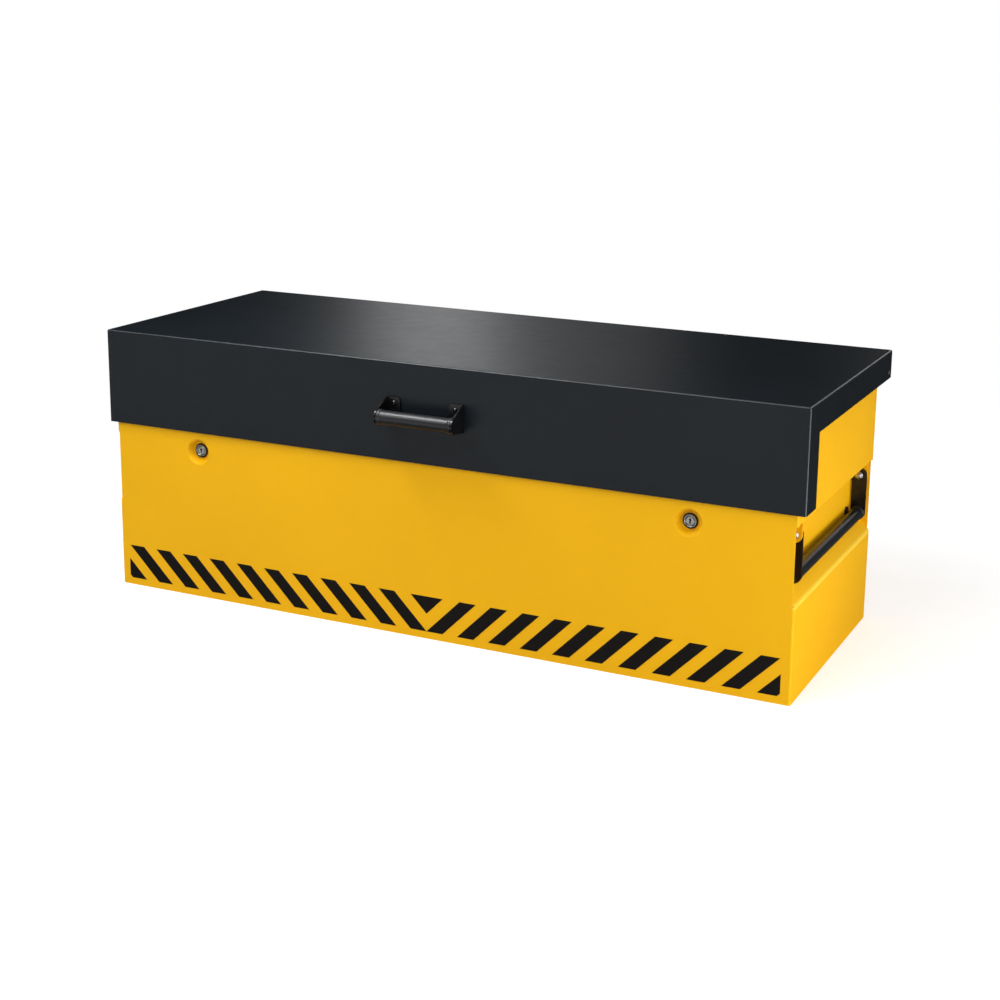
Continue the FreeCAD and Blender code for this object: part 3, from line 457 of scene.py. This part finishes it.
rubber = new_finish("black rubber", "rubber", Specular_IOR_Level=0.3)
rubber.vary(rubber.blend(rubber.noise(24.0, 3.0), (0.010, 0.010, 0.010), (0.017, 0.017, 0.016)),
            0.7 + rubber.noise(150.0, 3.0) * 0.2,
            rubber.bump(rubber.noise(900.0, 2.0), 0.3, 0.0002))

seal_low, seal_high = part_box("rim_seal")
seal_width = 2 * SEAL_SIDE[0][0] * MM
seal_outline = SEAL_SIDE + [SEAL_CROWN] + [(-x, z) for x, z in SEAL_SIDE[::-1]]
corners = len(seal_outline)
profile = bpy.data.meshes.new("seal profile")
profile.from_pydata([(x * MM, z * MM, 0.0) for x, z in seal_outline],
                    [(i, (i + 1) % corners) for i in range(corners)], [])
bulb = worked(profile, ("NODES", {"node_group": seal_tree(), "inputs": {
    "Width": seal_high.x - seal_low.x - seal_width, "Depth": seal_high.y - seal_low.y - seal_width,
    "Corner": SEAL_CORNER, "Place": (0.0, 0.0, seal_low.z), "Material": rubber.material}}))
shape = bmesh.new()
shape.from_mesh(bulb)
bmesh.ops.remove_doubles(shape, verts=shape.verts, dist=MERGE)
bmesh.ops.recalc_face_normals(shape, faces=shape.faces)
fitted("rim_seal_bulb", smoothed(meshed(shape)), rubber, "box", "rim_seal")


# ---- end handles: ears, arms and bars ------------------------------------------------------
# Each ear is a plate welded into the trough and painted with the body. Each drop handle
# is two flat arms welded to a tube and enamelled black; every cut edge is broken.

SIDES = ("left", "right")
EDGE = 0.5 * MM
FLAT_ANGLE, CUT_ANGLE = math.radians(0.5), math.radians(34)


def softened(node, edge, paint):
    """The CAD node with its cut edges broken, as a tumbled or deburred part has them."""
    data = nodes[node].data
    cut = bpy.data.meshes.new(node)
    cut.from_pydata([v.co for v in data.vertices], [], [p.vertices[:] for p in data.polygons])
    shape = bmesh.new()
    shape.from_mesh(cut)
    bmesh.ops.remove_doubles(shape, verts=shape.verts, dist=MERGE)
    bmesh.ops.dissolve_limit(shape, angle_limit=FLAT_ANGLE, verts=shape.verts, edges=shape.edges)
    mesh = meshed(shape)
    mesh.shade_smooth()
    made = worked(mesh, ("BEVEL", {"width": edge, "segments": 2, "limit_method": "ANGLE",
                                   "angle_limit": CUT_ANGLE, "harden_normals": True}))
    fitted(node + "_deburred", made, paint, nodes[node]["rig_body"], node)


enamel = powder_coat("gloss black enamel", "gloss_black", (0.0060, 0.0060, 0.0068),
                     (0.0048, 0.0048, 0.0055), roughness=0.22, specular=0.36, grain=0.08)
for side in SIDES:
    softened("handle_ears_" + side, EDGE, body_paint)
    softened("bail_frame_" + side, EDGE, enamel)


# ---- end handles: sleeves ------------------------------------------------------------------
# A hollow sleeve of satin black plastic on each bar, held between the two arms, with a
# raised collar at each end that keeps the hand off the arm.

SLEEVE_BORE, COLLAR_RISE, BAIL_GRIP = 8.0, 1.5, 11.5


def sleeve_profile(half, grip):
    """A sleeve's outline from one end to the other, mirrored about its middle."""
    collar = grip + COLLAR_RISE
    end = [(SLEEVE_BORE, half), (collar - 1.0, half), (collar - 0.3, half - 0.3),
           (collar, half - 1.0), (collar, half - 5.0), (collar - 0.3, half - 5.7),
           (grip + 0.4, half - 6.1), (grip + 0.05, half - 6.8), (grip, half - 8.0),
           (grip, half * 0.5), (grip, half * 0.15)]
    return end + [(r, -y) for r, y in end[::-1]]


moulding = new_finish("moulded black sleeve", "grip_black", Specular_IOR_Level=0.5)
moulding.vary(moulding.blend(moulding.noise(12.0, 3.0), (0.011, 0.012, 0.014), (0.015, 0.016, 0.019)),
              0.36 + moulding.noise(60.0, 2.0) * 0.04,
              moulding.bump(moulding.noise(1300.0, 2.0), 0.03, 0.0001))

for side in SIDES:
    low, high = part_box("bail_grip_" + side)
    sleeve = turned(sleeve_profile((high.y - low.y) / 2 / MM, BAIL_GRIP), loop=True)
    sleeve.transform(Matrix.Translation((low + high) / 2))
    fitted("bail_sleeve_" + side, sleeve, moulding, "bail_" + side, "bail_grip_" + side)


# ---- end handles: bolts, nuts and buffers ----------------------------------------------------
# Zinc-plated button-head bolts are the pivots, with dome nuts inside the arms. Rubber
# buffers, each held by a small screw, stop the bar from drumming on the trough.

zinc = new_finish("zinc plate", "zinc", Metallic=1.0)
zinc.vary(zinc.blend(zinc.noise(55.0, 4.0).ramp(0.25, 0.75), (0.50, 0.50, 0.49), (0.70, 0.70, 0.67)),
          0.34 + zinc.noise(210.0, 3.0) * 0.2,
          zinc.bump(zinc.noise(700.0, 2.0), 0.15, 0.0001))

FLIP = (0.0, 0.0, math.pi)
RIGHT = (1, 0, 0)
HEAD_RADIUS = 7.5
BUTTON_BOLT = [(0, 2.6), (2.5, 2.6, 6), (2.5, 0.35, 6), (3.2, 0.0), (4.6, 0.25), (6.1, 1.0),
               (7.1, 2.2), (HEAD_RADIUS, 3.6), (HEAD_RADIUS, 4.2), (7.2, 4.5), (4.0, 4.5),
               (4.0, 18.0), (0, 18.0)]
DOME_NUT = [(0, 3.7), (4.0, 3.7), (4.0, 0.2), (4.4, 0.0), (6.2, 0.0), (6.5, 0.4, 6), (6.5, 3.6, 6),
            (6.0, 4.1), (5.6, 4.5), (5.3, 5.6), (4.3, 6.9), (2.6, 7.7), (0, 8.0)]
BUFFER_RADIUS, BUFFER_RISE = 8.0, 3.7
BUFFER = [(0, 0), (BUFFER_RADIUS, 0), (BUFFER_RADIUS, 2.5), (7.7, 3.3), (6.9, BUFFER_RISE),
          (4.3, BUFFER_RISE), (3.9, 3.4), (3.7, 1.6), (0, 1.6)]
BUFFER_SCREW = [(0, 1.5), (3.1, 1.5), (3.2, 1.9), (2.8, 2.5), (1.7, 2.9), (1.3, 2.9, 6),
                (1.3, 2.0, 6), (0, 2.0)]


def facing(mesh, way):
    """Turns a part that was made about +Y to point another way."""
    mesh.transform(Vector((0, 1, 0)).rotation_difference(Vector(way)).to_matrix().to_4x4())
    return mesh


low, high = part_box("bail_pivot_bolts")
pivot_x, pivot_z = high.x - HEAD_RADIUS * MM, (low.z + high.z) / 2
for name, outline, node in (("bail_button_bolts", BUTTON_BOLT, "bail_pivot_bolts"),
                            ("bail_dome_nuts", DOME_NUT, "bail_pivot_nuts")):
    low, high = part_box(node)
    four = repeated(turned(outline), zinc, (-pivot_x, low.y, pivot_z), turn=FLIP,
                    row=(2, (0, high.y - low.y, 0)), column=(2, (2 * pivot_x, 0, 0)))
    fitted(name, four, zinc, "box", node)

low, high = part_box("handle_bumpers")
buffer_y, buffer_z = high.y - BUFFER_RADIUS * MM, (low.z + high.z) / 2
wall_x = high.x - BUFFER_RISE * MM
for name, outline, steps, paint, node in (("bail_buffers", BUFFER, 36, rubber, ["handle_bumpers"]),
                                          ("buffer_screws", BUFFER_SCREW, 24, zinc, [])):
    four = repeated(facing(turned(outline, steps), RIGHT), paint, (wall_x, -buffer_y, buffer_z),
                    turn=FLIP, row=(2, (-2 * wall_x, 0, 0)), column=(2, (0, 2 * buffer_y, 0)))
    fitted(name, four, paint, "box", *node)


# ---- locks: barrels, plugs and rings --------------------------------------------------------
# Each lock is a nickel-plated threaded barrel in a pressed dish, sealed by a rubber ring and
# clamped by a hexagon nut. The plug turns in it and is slotted for a flat key.

chrome = new_finish("nickel plate", "lock_chrome", Metallic=1.0)
chrome.vary(chrome.blend(chrome.noise(60.0, 2.0), (0.38, 0.38, 0.37), (0.52, 0.52, 0.50)),
            0.22 + chrome.noise(180.0, 2.0) * 0.12,
            chrome.bump(chrome.noise(400.0, 2.0), 0.05, 0.0001))

BARREL_END = 29.0
THREAD_ROOT, THREAD_HEIGHT, THREAD_START, THREAD_STEP, THREAD_RINGS = 10.4, 0.6, 10.0, 0.75, 24
BARREL = [(8.06, BARREL_END), (8.06, 1.6), (8.8, 0.5), (9.2, 0.1), (9.6, 0.0), (10.4, 0.1),
          (10.7, 0.5), (10.8, 1.1), (12.6, 1.1), (12.8, 1.4), (12.8, 3.0), (11.0, 3.0), (11.0, 9.4)]
BARREL += [(THREAD_ROOT + THREAD_HEIGHT * (i % 2), THREAD_START + THREAD_STEP * i)
           for i in range(THREAD_RINGS)]
BARREL += [(10.3, 28.6), (10.3, BARREL_END)]
PLUG = [(0, 0.0), (5.4, 0.0), (5.6, 0.25), (6.0, 0.25), (6.2, 0.0), (6.9, 0.0), (7.95, 1.1),
        (7.95, 29.2), (4.0, 29.2, 4, 5.2), (4.0, 35.6, 4, 5.2), (0, 35.6)]
SEALING_RING = [(10.85, 0.9), (10.85, -0.2), (11.3, -0.5), (12.4, -0.3), (13.2, 0.3), (13.4, 1.0),
                (13.4, 2.0), (12.85, 2.0), (12.85, 0.3), (12.6, 0.05)]
CLAMP_NUT = [(11.0, 0.0), (13.0, 0.0), (14.0, 0.6, 6), (14.0, 5.4, 6), (13.0, 6.0), (11.0, 6.0)]
KEY_WIDTH, KEY_HEIGHT, KEY_DEPTH = 2.2, 9.0, 19.0
WARD_RADIUS, WARD_RISE = 2.1, 2.0
CUTTER_OUT = 1.0


def keyway(mesh):
    """Cuts the flat slot and its round ward into the plug's face."""
    shape = bmesh.new()
    bmesh.ops.create_cube(shape, size=1.0)
    slot = meshed(shape)
    slot.transform(Matrix.Diagonal((KEY_WIDTH * MM, (KEY_DEPTH + CUTTER_OUT) * MM, KEY_HEIGHT * MM, 1)))
    slot.transform(Matrix.Translation((0, (KEY_DEPTH - CUTTER_OUT) / 2 * MM, 0)))
    ward = turned([(0, -CUTTER_OUT), (WARD_RADIUS, -CUTTER_OUT), (WARD_RADIUS, KEY_DEPTH),
                   (0, KEY_DEPTH)], steps=20)
    ward.transform(Matrix.Translation((0, 0, WARD_RISE * MM)))
    cutters = [added("cutter", slot), added("cutter", ward)]
    made = worked(mesh, *(("BOOLEAN", {"operation": "DIFFERENCE", "solver": "EXACT", "object": cutter})
                          for cutter in cutters))
    for cutter in cutters:
        bpy.data.objects.remove(cutter)
    return smoothed(made)


for side in SIDES:
    low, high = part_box("lock_cylinder_" + side)
    centre = (low + high) / 2
    barrel = turned(BARREL, loop=True)
    barrel.transform(Matrix.Translation((centre.x, low.y, centre.z)))
    fitted("lock_barrel_" + side, barrel, chrome, "box", "lock_cylinder_" + side)
    plug = keyway(turned(PLUG))
    plug.transform(Matrix.Translation((centre.x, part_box("lock_plug_" + side)[0].y, centre.z)))
    fitted("lock_key_plug_" + side, plug, chrome, "plug_" + side, "lock_plug_" + side)
lock_x, lock_z = abs(centre.x), centre.z
for name, outline, paint, node in (("lock_sealing_rings", SEALING_RING, rubber, "lock_gaskets"),
                                   ("lock_hexagon_nuts", CLAMP_NUT, zinc, "lock_nuts")):
    pair = repeated(turned(outline, loop=True), paint, (-lock_x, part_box(node)[0].y, lock_z),
                    row=(2, (2 * lock_x, 0, 0)))
    fitted(name, pair, paint, "box", node)


# ---- locks: cams, hook levers and pins --------------------------------------------------------
# Laser-cut steel, deburred and zinc plated. A pin on each cam works in the lever's fork, and
# the lever's hook goes through the window of the striker under the lid.

CAM_EDGE, LEVER_EDGE = 0.35 * MM, 0.45 * MM
LEVER_PIN = [(0, 0.1), (3.4, 0.0), (5.6, 0.4), (6.7, 1.2), (7.0, 2.0), (7.0, 2.5), (4.0, 2.5),
             (4.0, 8.5), (7.0, 8.5), (7.0, 11.5), (0, 11.5)]
for side in SIDES:
    softened("lock_cam_" + side, CAM_EDGE, zinc)
    softened("lock_lever_" + side, LEVER_EDGE, zinc)
low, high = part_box("lock_pivots")
pins = repeated(turned(LEVER_PIN, steps=36), zinc, (-lock_x, low.y, (low.z + high.z) / 2),
                row=(2, (2 * lock_x, 0, 0)))
fitted("lock_lever_pins", pins, zinc, "box", "lock_pivots")


# ---- lid -----------------------------------------------------------------------------
# Folded steel lid with two welded ribs, in fine satin black powder coat. The sharp folds
# are painted a lighter grey, a painted highlight along each fold.

DOWN = (0, 0, -1)
LID_FOLD_HIGHLIGHT_REACH = 2.6 * MM
STRIKER_EDGE, BRACKET_EDGE = 0.45 * MM, 0.4 * MM
RIB_SHEET = 1.5 * MM
RIB_WELD_EDGE, RIB_WELD_END, RIB_WELDS = 6 * MM, 15 * MM, 18
lid_low, lid_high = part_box("lid_shell")
lid_paint = powder_coat("black powder coat", "lid_black", (0.0066, 0.0100, 0.0136),
                        (0.0054, 0.0082, 0.0113), roughness=0.37, specular=0.28, grain=0.3)
lid_middle = (lid_low + lid_high) / 2
# Two of the lid's outer faces meet in a fold, so the second nearest face is what counts.
from_face = [abs(abs(lid_paint.axis(i) - lid_middle[i]) - (lid_high[i] - lid_middle[i]))
             for i in (0, 1)]
from_face.append(abs(lid_paint.axis(2) - lid_high.z))
nearer = from_face[0].least(from_face[1])
second = nearer.most(from_face[0].most(from_face[1]).least(from_face[2]))
# Painted highlight: a lighter grey along the folds, mottled by noise.
painted_fold_highlight = second.ramp(LID_FOLD_HIGHLIGHT_REACH, LID_FOLD_HIGHLIGHT_REACH * 0.35) * (0.6 + lid_paint.noise(14.0, 3.0) * 0.8)
lid_paint.feed(lid_paint.shader["Base Color"],
               lid_paint.blend(painted_fold_highlight, lid_paint.colour, (0.060, 0.064, 0.068)))
coat(lid_paint, "lid_shell", "lid_rib_front", "lid_rib_back")
for side in SIDES:
    softened("striker_" + side, STRIKER_EDGE, lid_paint)
    softened("strut_lid_bracket_" + side, BRACKET_EDGE, lid_paint)

rib_low, rib_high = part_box("lid_rib_front")
rib_length, rib_depth = rib_high.x - rib_low.x, rib_high.y - rib_low.y
next_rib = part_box("lid_rib_back")[0].y - rib_low.y
welds = repeated(facing(weld_pip.copy(), DOWN), lid_paint,
                 (rib_low.x + RIB_WELD_END, rib_low.y + RIB_WELD_EDGE, rib_high.z - RIB_SHEET),
                 row=(RIB_WELDS, ((rib_length - 2 * RIB_WELD_END) / (RIB_WELDS - 1), 0, 0)),
                 column=(2, (0, rib_depth - 2 * RIB_WELD_EDGE, 0)), station=(2, (0, next_rib, 0)))
fitted("rib_spot_welds", welds, lid_paint, "lid")


# ---- pull handle -----------------------------------------------------------------------
# Two folded brackets in black enamel carry a steel bar with a moulded sleeve, and four
# black-plated pop rivets hold them to the lid's skirt.

PULL_GRIP = 12.5
RIVET_RADIUS = 4.6
POP_RIVET = [(0, 0.9), (1.0, 0.9), (1.15, 0.3), (1.5, 0.02), (2.6, 0.35), (3.7, 1.1), (4.4, 1.95),
             (RIVET_RADIUS, 2.4), (4.5, 2.6), (2.4, 2.6), (2.4, 7.6), (3.9, 7.65), (4.1, 8.1),
             (3.7, 8.8), (0, 8.8)]
for side in SIDES:
    softened("pull_bracket_" + side, EDGE, enamel)
coat(enamel, "pull_bar")
low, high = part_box("pull_grip")
sleeve = facing(turned(sleeve_profile((high.x - low.x) / 2 / MM, PULL_GRIP), loop=True), RIGHT)
sleeve.transform(Matrix.Translation((low + high) / 2))
fitted("pull_sleeve", sleeve, moulding, "lid", "pull_grip")

black_zinc = new_finish("black zinc plate", "zinc", Metallic=1.0)
black_zinc.vary(black_zinc.blend(black_zinc.noise(90.0, 3.0), (0.045, 0.045, 0.047),
                                 (0.075, 0.075, 0.078)),
                0.2 + black_zinc.noise(240.0, 2.0) * 0.14,
                black_zinc.bump(black_zinc.noise(500.0, 2.0), 0.1, 0.0001))
low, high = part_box("pull_rivets")
radius = RIVET_RADIUS * MM
rivets = repeated(turned(POP_RIVET, steps=36), black_zinc, (low.x + radius, low.y, low.z + radius),
                  row=(2, (high.x - low.x - 2 * radius, 0, 0)),
                  column=(2, (0, 0, high.z - low.z - 2 * radius)))
fitted("pull_pop_rivets", rivets, black_zinc, "lid", "pull_rivets")


# ---- hinge -----------------------------------------------------------------------------
# Three brackets bolted to the back wall hold a full-length rod, which is fixed in lugs
# under the lid and runs between nylon bushes. Push-on caps keep the rod in the flanges.

LEFT = (-1, 0, 0)
HINGE_EDGE = 0.4 * MM
BUSH_LENGTH, BUSH_STEP = 8.4, 49.0
BUSH = [(5.0, 0), (7.5, 0), (8.0, 0.5), (8.0, 1.7), (7.1, 2.0), (7.1, 6.4), (8.0, 6.7), (8.0, 7.9),
        (7.5, BUSH_LENGTH), (5.0, BUSH_LENGTH)]
PUSH_CAP = [(5.0, 0), (8.6, 0), (9.0, 0.4), (8.6, 1.1), (6.8, 1.5), (5.7, 2.0), (5.0, 1.6)]
HALF_FLATS = 5.0
HEXAGON_BOLT = [(0, 0.0), (2.5, 0.0), (2.9, 0.4), (2.9, 0.7), (4.5, 0.7), (HALF_FLATS, 1.1, 6),
                (HALF_FLATS, 4.9, 6), (4.6, 5.0), (3.0, 5.0), (3.0, 10.0), (5.9, 10.0), (6.1, 10.3),
                (6.1, 10.8), (HALF_FLATS, 10.9, 6), (HALF_FLATS, 13.3, 6), (4.4, 13.9), (0, 14.0)]
BOLT_RISE, BOLT_SPAN = 22 * MM, 40 * MM
coat(zinc, "hinge_rod")
for place in ("left", "middle", "right"):
    softened("hinge_bracket_" + place, HINGE_EDGE, body_paint)
    softened("hinge_lug_" + place, HINGE_EDGE, lid_paint)

nylon = new_finish("white nylon", "nylon", Specular_IOR_Level=0.4)
nylon.vary(nylon.blend(nylon.noise(70.0, 2.0), (0.70, 0.68, 0.62), (0.78, 0.76, 0.71)),
           0.4 + nylon.noise(300.0, 2.0) * 0.15,
           nylon.bump(nylon.noise(600.0, 2.0), 0.1, 0.0001))

low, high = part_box("hinge_bushes")
stations = (3, ((high.x - low.x - (BUSH_STEP + BUSH_LENGTH) * MM) / 2, 0, 0))
axis_y, axis_z = (low.y + high.y) / 2, (low.z + high.z) / 2
bushes = repeated(facing(turned(BUSH, steps=36, loop=True), RIGHT), nylon, (low.x, axis_y, axis_z),
                  row=(2, (BUSH_STEP * MM, 0, 0)), column=stations)
fitted("hinge_nylon_bushes", bushes, nylon, "lid", "hinge_bushes")

low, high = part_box("hinge_clips")
caps = repeated(facing(turned(PUSH_CAP, steps=36, loop=True), LEFT), zinc, (high.x, axis_y, axis_z),
                row=(2, (low.x - high.x, 0, 0)), turn=FLIP)
fitted("hinge_push_caps", caps, zinc, "lid", "hinge_clips")

low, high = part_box("hinge_bolts")
to_corner = HALF_FLATS / math.cos(math.pi / 6) * MM
bolts = repeated(turned(HEXAGON_BOLT, steps=24), zinc,
                 (low.x + to_corner, low.y, axis_z - BOLT_RISE / 2),
                 row=(2, (0, 0, BOLT_RISE)), column=(2, (BOLT_SPAN, 0, 0)), station=stations)
fitted("hinge_hexagon_bolts", bolts, zinc, "box", "hinge_bolts")


# ---- gas struts ------------------------------------------------------------------------
# Enamelled pressure tubes with welded eyes, hard-chromed rods, and studs on plates that are
# welded to the trough walls and painted with the body.

FOOT_EDGE, TUBE_EDGE, ROD_EDGE = 0.4 * MM, 0.6 * MM, 0.4 * MM
hard_chrome = new_finish("hard chrome", "lock_chrome", Metallic=1.0)
hard_chrome.vary(hard_chrome.blend(hard_chrome.noise(30.0, 2.0), (0.62, 0.62, 0.64),
                                   (0.70, 0.70, 0.72)),
                 0.1 + hard_chrome.noise(40.0, 2.0) * 0.06,
                 hard_chrome.bump(hard_chrome.noise(60.0, 1.0), 0.03, 0.0001))
for side in SIDES:
    softened("strut_foot_" + side, FOOT_EDGE, body_paint)
    softened("strut_cylinder_" + side, TUBE_EDGE, enamel)
    softened("strut_rod_" + side, ROD_EDGE, hard_chrome)


# ---- studio floor, flags and sky ----------------------------------------------------------
# A pale floor that fades to white, and a black ring and a dark grey ground that only
# reflections see, so that the satin lid stays dark. The sky is white to the eye and to
# reflections, and a soft even light on the object.

WHITE, BLACK = (1.0, 1.0, 1.0, 1.0), (0.0, 0.0, 0.0, 1.0)
PAPER, PAPER_GLOW = (0.66, 0.66, 0.66, 1.0), 0.53
FADE_START, FADE_END = 1.2, 2.3
FLOOR = 15.0
FLAG_RADIUS, FLAG_LOW, FLAG_HIGH, FLAG_SIDES = 5.5, 0.02, 10.5, 48
GROUND_FRONT, GROUND_UP, GROUND_REACH, GROUND_GLOW = -1.0, 0.0005, 5.0, 0.05
AMBIENT = 0.4


def staged(name, points, faces, material):
    """A surface of the studio, which isn't part of the object."""
    mesh = bpy.data.meshes.new(name)
    mesh.from_pydata(points, [], faces)
    mesh.materials.append(material)
    piece = added(name, mesh)
    piece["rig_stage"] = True
    return piece


def seen_directly(finish):
    """1 for the rays that look at the background, 0 for those that carry its light."""
    rays = [finish.node("LightPath", out=name)
            for name in ("Is Camera Ray", "Is Glossy Ray", "Is Transmission Ray")]
    return rays[0].most(rays[1]).most(rays[2])


def emission(finish, strength):
    """A white surface that shines by itself."""
    return finish.node("Emission", sockets={"Color": WHITE, "Strength": strength})


floor_paint = new_finish("studio floor")
floor_paint.tree.nodes.clear()
seen = seen_directly(floor_paint)
paper = floor_paint.node("BsdfDiffuse", sockets={"Color": PAPER})
lit = floor_paint.node("AddShader", sockets={0: paper, 1: emission(floor_paint, seen * PAPER_GLOW)})
away = floor_paint.node("VectorMath", {"operation": "LENGTH"}, {0: floor_paint.where()}, out=1)
surface = floor_paint.node("MixShader", sockets={0: away.ramp(FADE_START, FADE_END) * seen, 1: lit,
                                                 2: emission(floor_paint, 1.0)})
floor_paint.node("OutputMaterial", sockets={0: surface})
staged("floor", [(-FLOOR, -FLOOR, 0), (FLOOR, -FLOOR, 0), (FLOOR, FLOOR, 0), (-FLOOR, FLOOR, 0)],
       [(0, 1, 2, 3)], floor_paint.material)

black = new_finish("black cloth", Specular_IOR_Level=0.0, Roughness=1.0, Base_Color=BLACK)
grey = new_finish("grey cloth", Specular_IOR_Level=0.0, Roughness=1.0, Base_Color=BLACK,
                  Emission_Color=WHITE, Emission_Strength=GROUND_GLOW)
turns = [2 * math.pi * i / FLAG_SIDES for i in range(FLAG_SIDES)]
ring_points = [(FLAG_RADIUS * math.cos(a), FLAG_RADIUS * math.sin(a), z)
               for z in (FLAG_LOW, FLAG_HIGH) for a in turns]
ring_faces = [(i, (i + 1) % FLAG_SIDES, (i + 1) % FLAG_SIDES + FLAG_SIDES, i + FLAG_SIDES)
              for i in range(FLAG_SIDES)]
ground_points = [(-GROUND_REACH, GROUND_FRONT, GROUND_UP), (GROUND_REACH, GROUND_FRONT, GROUND_UP),
                 (GROUND_REACH, GROUND_REACH, GROUND_UP), (-GROUND_REACH, GROUND_REACH, GROUND_UP)]
for flag in (staged("flag ring", ring_points, ring_faces, black.material),
             staged("ground flag", ground_points, [(0, 1, 2, 3)], grey.material)):
    flag.visible_camera = False
    flag.visible_diffuse = False
    flag.visible_shadow = False
    flag.visible_transmission = False

world = bpy.data.worlds.new("studio")
bpy.context.scene.world = world
world.use_nodes = True
world.node_tree.nodes.clear()
sky = Finish(world.node_tree)
level = AMBIENT + seen_directly(sky) * (1.0 - AMBIENT)
glow = sky.node("Background", sockets={"Color": WHITE, "Strength": level})
sky.node("OutputWorld", sockets={0: glow})


# ---- lamps and camera -------------------------------------------------------------------
# A long soft box overhead and a small one that draws the line on the pull handle, three at the
# right-hand end, a fill in front, two strips behind that streak the lid's top, one for its
# right-hand fold, and a low wash on the floor behind the box.

LAMP_AIM = (0.0, 0.0, 0.35)
CAMERA_PLACE = (1.362, -2.766, 1.0885)
CAMERA_TURN = (-25.79, 12.92, 0.59)  # yaw, pitch and roll in degrees
CAMERA_LENS, CAMERA_SHIFT = 62.65, -0.1


def soft_box(name, place, size, power, aim=LAMP_AIM):
    """A rectangular lamp, with its width and height in metres and its power in watts."""
    lamp = bpy.data.lights.new(name, "AREA")
    lamp.shape = "RECTANGLE"
    lamp.size, lamp.size_y = size
    lamp.energy = power
    holder = added(name, lamp)
    holder.location = place
    holder.rotation_mode = "QUATERNION"
    holder.rotation_quaternion = (Vector(aim) - Vector(place)).to_track_quat("-Z", "Y")
    holder.visible_camera = False


def around(azimuth, elevation, distance):
    """A place about the box. Azimuth 0 is in front and 90 at the right-hand end."""
    a, e = math.radians(azimuth), math.radians(elevation)
    return (distance * math.sin(a) * math.cos(e), -distance * math.cos(a) * math.cos(e),
            LAMP_AIM[2] + distance * math.sin(e))


soft_box("overhead", (-1.2, -1.0, 3.3), (3.4, 0.26), 11, aim=(-1.2, -0.6, 0.0))
soft_box("handle glint", (-0.5, -0.53, 1.4), (0.55, 0.22), 10, aim=(0.0, -0.27, 0.4))
soft_box("right key", (2.5, -0.33, 0.7), (0.9, 1.2), 11, aim=(0.66, -0.1, 0.25))
soft_box("right kicker", (1.5, -0.45, 0.12), (0.7, 0.2), 5.5, aim=(0.66, -0.1, 0.1))
soft_box("right top", (2.3, -0.5, 2.7), (1.6, 1.6), 4)
soft_box("front fill", around(-13, 43, 3.2), (2.0, 1.5), 38)
soft_box("back streak", around(209.5, 20, 4.4), (0.5, 1.4), 4.5)
soft_box("streak tail", around(202.0, 20, 4.4), (0.9, 1.4), 1.4)
soft_box("back edge", around(169, 16, 4.3), (1.5, 1.1), 11)
soft_box("back wash", (-0.05, 2.8, 0.25), (1.2, 0.4), 21, aim=(-0.05, 0.0, 0.2))

yaw, pitch, roll = (math.radians(angle) for angle in CAMERA_TURN)
forward = Vector((math.sin(yaw) * math.cos(pitch), math.cos(yaw) * math.cos(pitch), -math.sin(pitch)))
level_right = Vector((math.cos(yaw), -math.sin(yaw), 0.0))
level_up = level_right.cross(forward)
right = level_right * math.cos(roll) + level_up * math.sin(roll)
up = level_up * math.cos(roll) - level_right * math.sin(roll)
lens = bpy.data.cameras.new("camera")
lens.lens = CAMERA_LENS
lens.shift_y = CAMERA_SHIFT
camera = added("camera", lens)
turn = Matrix((right, up, -forward)).transposed()
camera.matrix_world = Matrix.Translation(CAMERA_PLACE) @ turn.to_4x4()
bpy.context.scene.camera = camera
bpy.context.scene.view_settings.view_transform = "Standard"

low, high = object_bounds()
